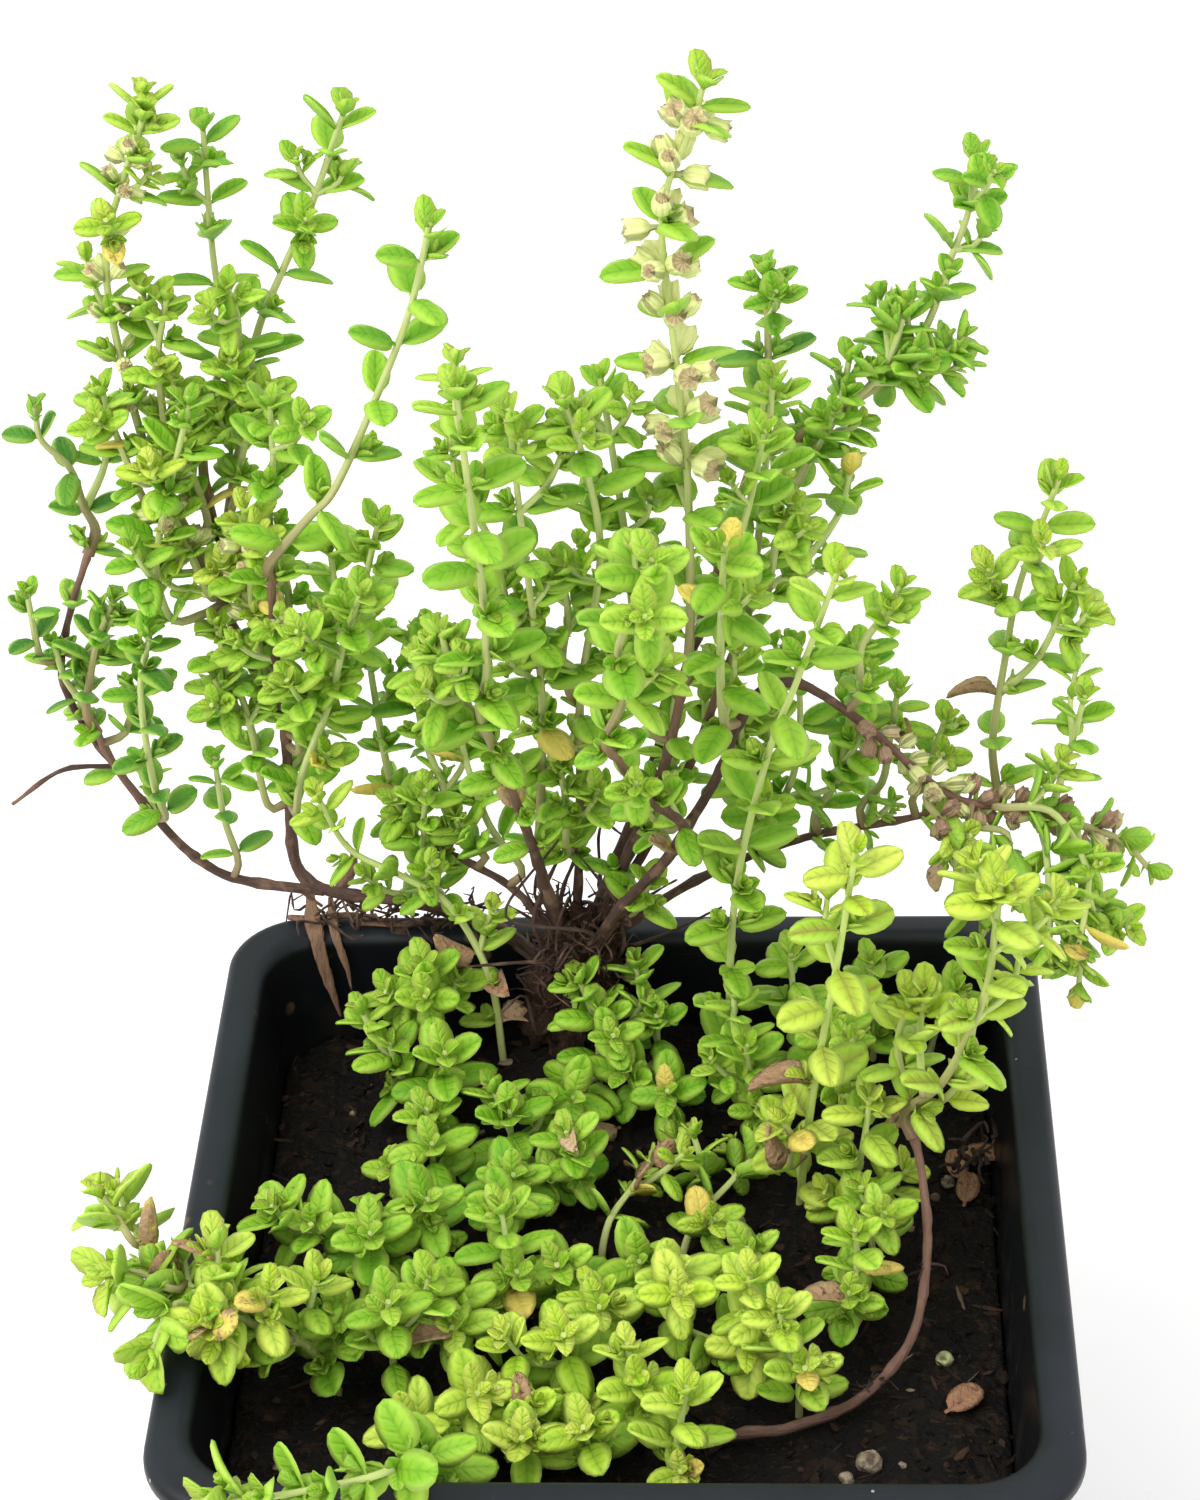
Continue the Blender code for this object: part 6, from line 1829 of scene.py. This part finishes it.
def drop_leaves():
    """The fallen leaves, with their faces up, each turned by a heading in degrees."""
    fallen = Growth()
    draw = random.Random(SEED)
    for x, y, heading in FALLEN_LEAVES + MORE_FALLEN:
        brown = x > BROWN_PAST
        turn = math.radians(heading)
        along = Vector((math.cos(turn), math.sin(turn), draw.uniform(-0.1, 0.25))).normalized()
        length = FALLEN_LENGTH * draw.uniform(0.85, 1.15)
        place = from_rim((x, y, compost_height(x, y) + FALLEN_LIFT)) - along * length / 2
        outgrowth(fallen, place, along, Vector((0, 0, 1)), (length, length * LEAF_WIDTH_SHARE, length),
                  kind=Growth.KINDS["leaf"], shape=3 if brown else draw.choice(withered_shapes),
                  tint=-0.5 if brown else draw.uniform(0.0, 1.0),
                  worn=draw.uniform(-0.15, 0.2) + (0.35 if brown else 0.0))
    return finish_growth("fallen_leaves", fallen, leaf_finish("fallen_leaf", DRYNESS))


fallen_leaves = drop_leaves()
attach(fallen_leaves, "root")
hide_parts(*[f"fallen_leaf_{i + 1}" for i in range(len(FALLEN_LEAVES))])
drop_shapes(leaf_kinds)
drop_shapes(calyx_kinds)


# The bark strips: dry strips peeled from the old wood. Two hang over the back rim into the pot, two
# lie along the rim and one curls up from it. They are caught under the branch there.

BARK_STRIPS = [([(-36.5, 45.6, 2.2), (-36, 42.6, 1.2), (-35.5, 40.4, 0.2), (-34.6, 39.2, -4),
                 (-33.2, 38.2, -9.5)], 1.9, 0.3),
               ([(-34.2, 45.4, 2), (-33.8, 42.6, 1.1), (-33.2, 40.3, 0), (-32.2, 39.3, -3),
                 (-31.8, 38.8, -6)], 1.2, 0.25),
               ([(-39, 44, 0.3), (-36, 43.5, 0.35), (-32, 44, 0.5), (-27, 43.2, 0.3)], 1.3, 0.3),
               ([(-31, 42.8, 0.3), (-26, 42.6, 0.3), (-21, 43.2, 0.4), (-17, 42.8, 0.3)], 0.9, 0.25),
               ([(-34, 46.5, 1.8), (-32.4, 47.5, 3), (-31.6, 48.4, 5.4), (-32.3, 49, 7.2)], 1.5, 0.5)]
STRIP_STEPS = 24
STRIP_SIDES = 12


def bark_strip(mesh, points, width, thickness):
    """A thin dry strip, cupped across its width and tapering to its ends."""
    path = Path([from_rim(p) for p in points])
    rings = []
    for i in range(STRIP_STEPS + 1):
        place, _, side, across = path.at(path.length * i / STRIP_STEPS)
        wide = width / 2 * (0.12 + 0.88 * (1 - (i / STRIP_STEPS) ** 2.2) * min(1.0, 0.4 + i / 10))
        ring = []
        for k in range(STRIP_SIDES):
            angle = math.tau * k / STRIP_SIDES
            cup = 0.25 * wide * math.cos(angle) ** 2
            rough = 1 + 0.3 * noise.noise(Vector((i * 0.6, k * 0.9, points[0][0])))
            ring.append(place + side * math.cos(angle) * wide * rough
                        + across * (math.sin(angle) * thickness * rough + cup))
        rings.append(ring)
    loft(mesh, rings)


def hang_bark():
    mesh = bmesh.new()
    for points, width, thickness in BARK_STRIPS:
        bark_strip(mesh, points, width, thickness)
    bmesh.ops.recalc_face_normals(mesh, faces=mesh.faces)
    finish = Finish("dry_bark_strip")
    fibres = finish.noise(0.5, 4.0, finish.stretched(finish.place, (1.0, 0.5, 0.25)), 0.6)
    colour = finish.mix(fibres, rgb(0.08, 0.042, 0.028), rgb(0.4, 0.235, 0.15))
    return new_piece("bark_strips", mesh, finish.coat(colour, fibres * 0.2 + 0.65, 0.25, fibres, 0.4))


bark_strips = hang_bark()
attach(bark_strips, "root")


# The grains: puffed perlite, stained by the soil, and a pale green feed pellet. They were mixed into
# the compost at the nursery, and those on top lie partly sunk in it.

GRAINS = [(34.5, 14.5, 1.6, "perlite"), (33, 11.5, 1.1, "perlite"), (32.9, -12.9, 1.9, "pellet"),
          (24.9, -26.7, 2.6, "perlite"), (22.5, -29, 1.5, "perlite"), (-24, 10, 0.9, "perlite"),
          (-31, 26, 0.8, "perlite"), (10, 34, 1.0, "perlite"), (36, -30, 0.8, "perlite"),
          (-34, -28, 0.8, "perlite"), (30, 30, 1.1, "perlite")]


def grain_finish(kind, low, high):
    finish = Finish(kind)
    pores = finish.noise(0.35, 3.0)
    dirt = finish.between(finish.noise(1.2, 3.0), 0.42, 0.62)
    colour = finish.mix(pores, low, high)
    colour = finish.mix(dirt * 0.8, colour, rgb(0.06, 0.034, 0.018))
    return finish.coat(colour, pores * 0.2 + 0.7, 0.3, pores, 0.3)


def lay_grains(kind, lumpiness, finish):
    mesh = bmesh.new()
    for x, y, size, own_kind in GRAINS:
        if own_kind == kind:
            place = from_rim((x, y, compost_height(x, y) + size * 0.2))
            ball = bmesh.ops.create_icosphere(mesh, subdivisions=3, radius=size / 2)
            for vert in ball["verts"]:
                lump = noise.noise(vert.co * 3.2 / size + Vector((x, y, 0)))
                lump += 0.5 * noise.noise(vert.co * 7 / size + Vector((y, x, 0)))
                vert.co *= 1 + lumpiness * lump
                vert.co = place + Vector((vert.co.x, vert.co.y, vert.co.z * 0.85))
    return new_piece(kind + "_grains", mesh, finish)


for kind, lumpiness, low, high in (("perlite", 0.25, rgb(0.16, 0.12, 0.07), rgb(0.5, 0.42, 0.3)),
                                   ("pellet", 0.04, rgb(0.36, 0.42, 0.15), rgb(0.58, 0.62, 0.32))):
    grains = lay_grains(kind, lumpiness, grain_finish(kind, low, high))
    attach(grains, "root")


# The floor and the light: a plain pale floor under soft light from all round, with one large soft
# lamp above and to the left, as in a bright tent.

FLOOR_WIDTH = 4000.0
LAMP_PLACE = Vector((-450, -350, 900))
LAMP_WIDTH = 700.0
LAMP_POWER = 6.0
SKY_STRENGTH = 1.18


def lay_floor():
    mesh = bmesh.new()
    half = FLOOR_WIDTH / 2
    loft(mesh, [[Vector((x * half, y * half, z)) for x, y in ((-1, -1), (1, -1), (1, 1), (-1, 1))]
                for z in (-2.0, -0.05)])
    finish = Finish("pale_floor")
    faint = finish.noise(60.0, 2.0)
    colour = finish.mix(faint, grey(0.9), grey(0.93))
    made = new_piece("pale_floor", mesh, finish.coat(colour, faint * 0.1 + 0.8, 0.1))
    made.data.shade_flat()
    return made


lay_floor()
sky = bpy.data.worlds.new("soft_sky")
sky.use_nodes = True
sky.node_tree.nodes["Background"].inputs["Color"].default_value = rgb(1.0, 1.0, 1.0)
sky.node_tree.nodes["Background"].inputs["Strength"].default_value = SKY_STRENGTH
bpy.context.scene.world = sky
lamp_data = bpy.data.lights.new("soft_lamp", "AREA")
lamp_data.size = LAMP_WIDTH * MM
lamp_data.energy = LAMP_POWER
lamp = bpy.data.objects.new("soft_lamp", lamp_data)
aim_down = (Vector((0, 20, 120)) - LAMP_PLACE).to_track_quat("-Z", "Y").to_matrix().to_4x4()
lamp.matrix_world = Matrix.Translation(LAMP_PLACE * MM) @ aim_down
bpy.context.scene.collection.objects.link(lamp)
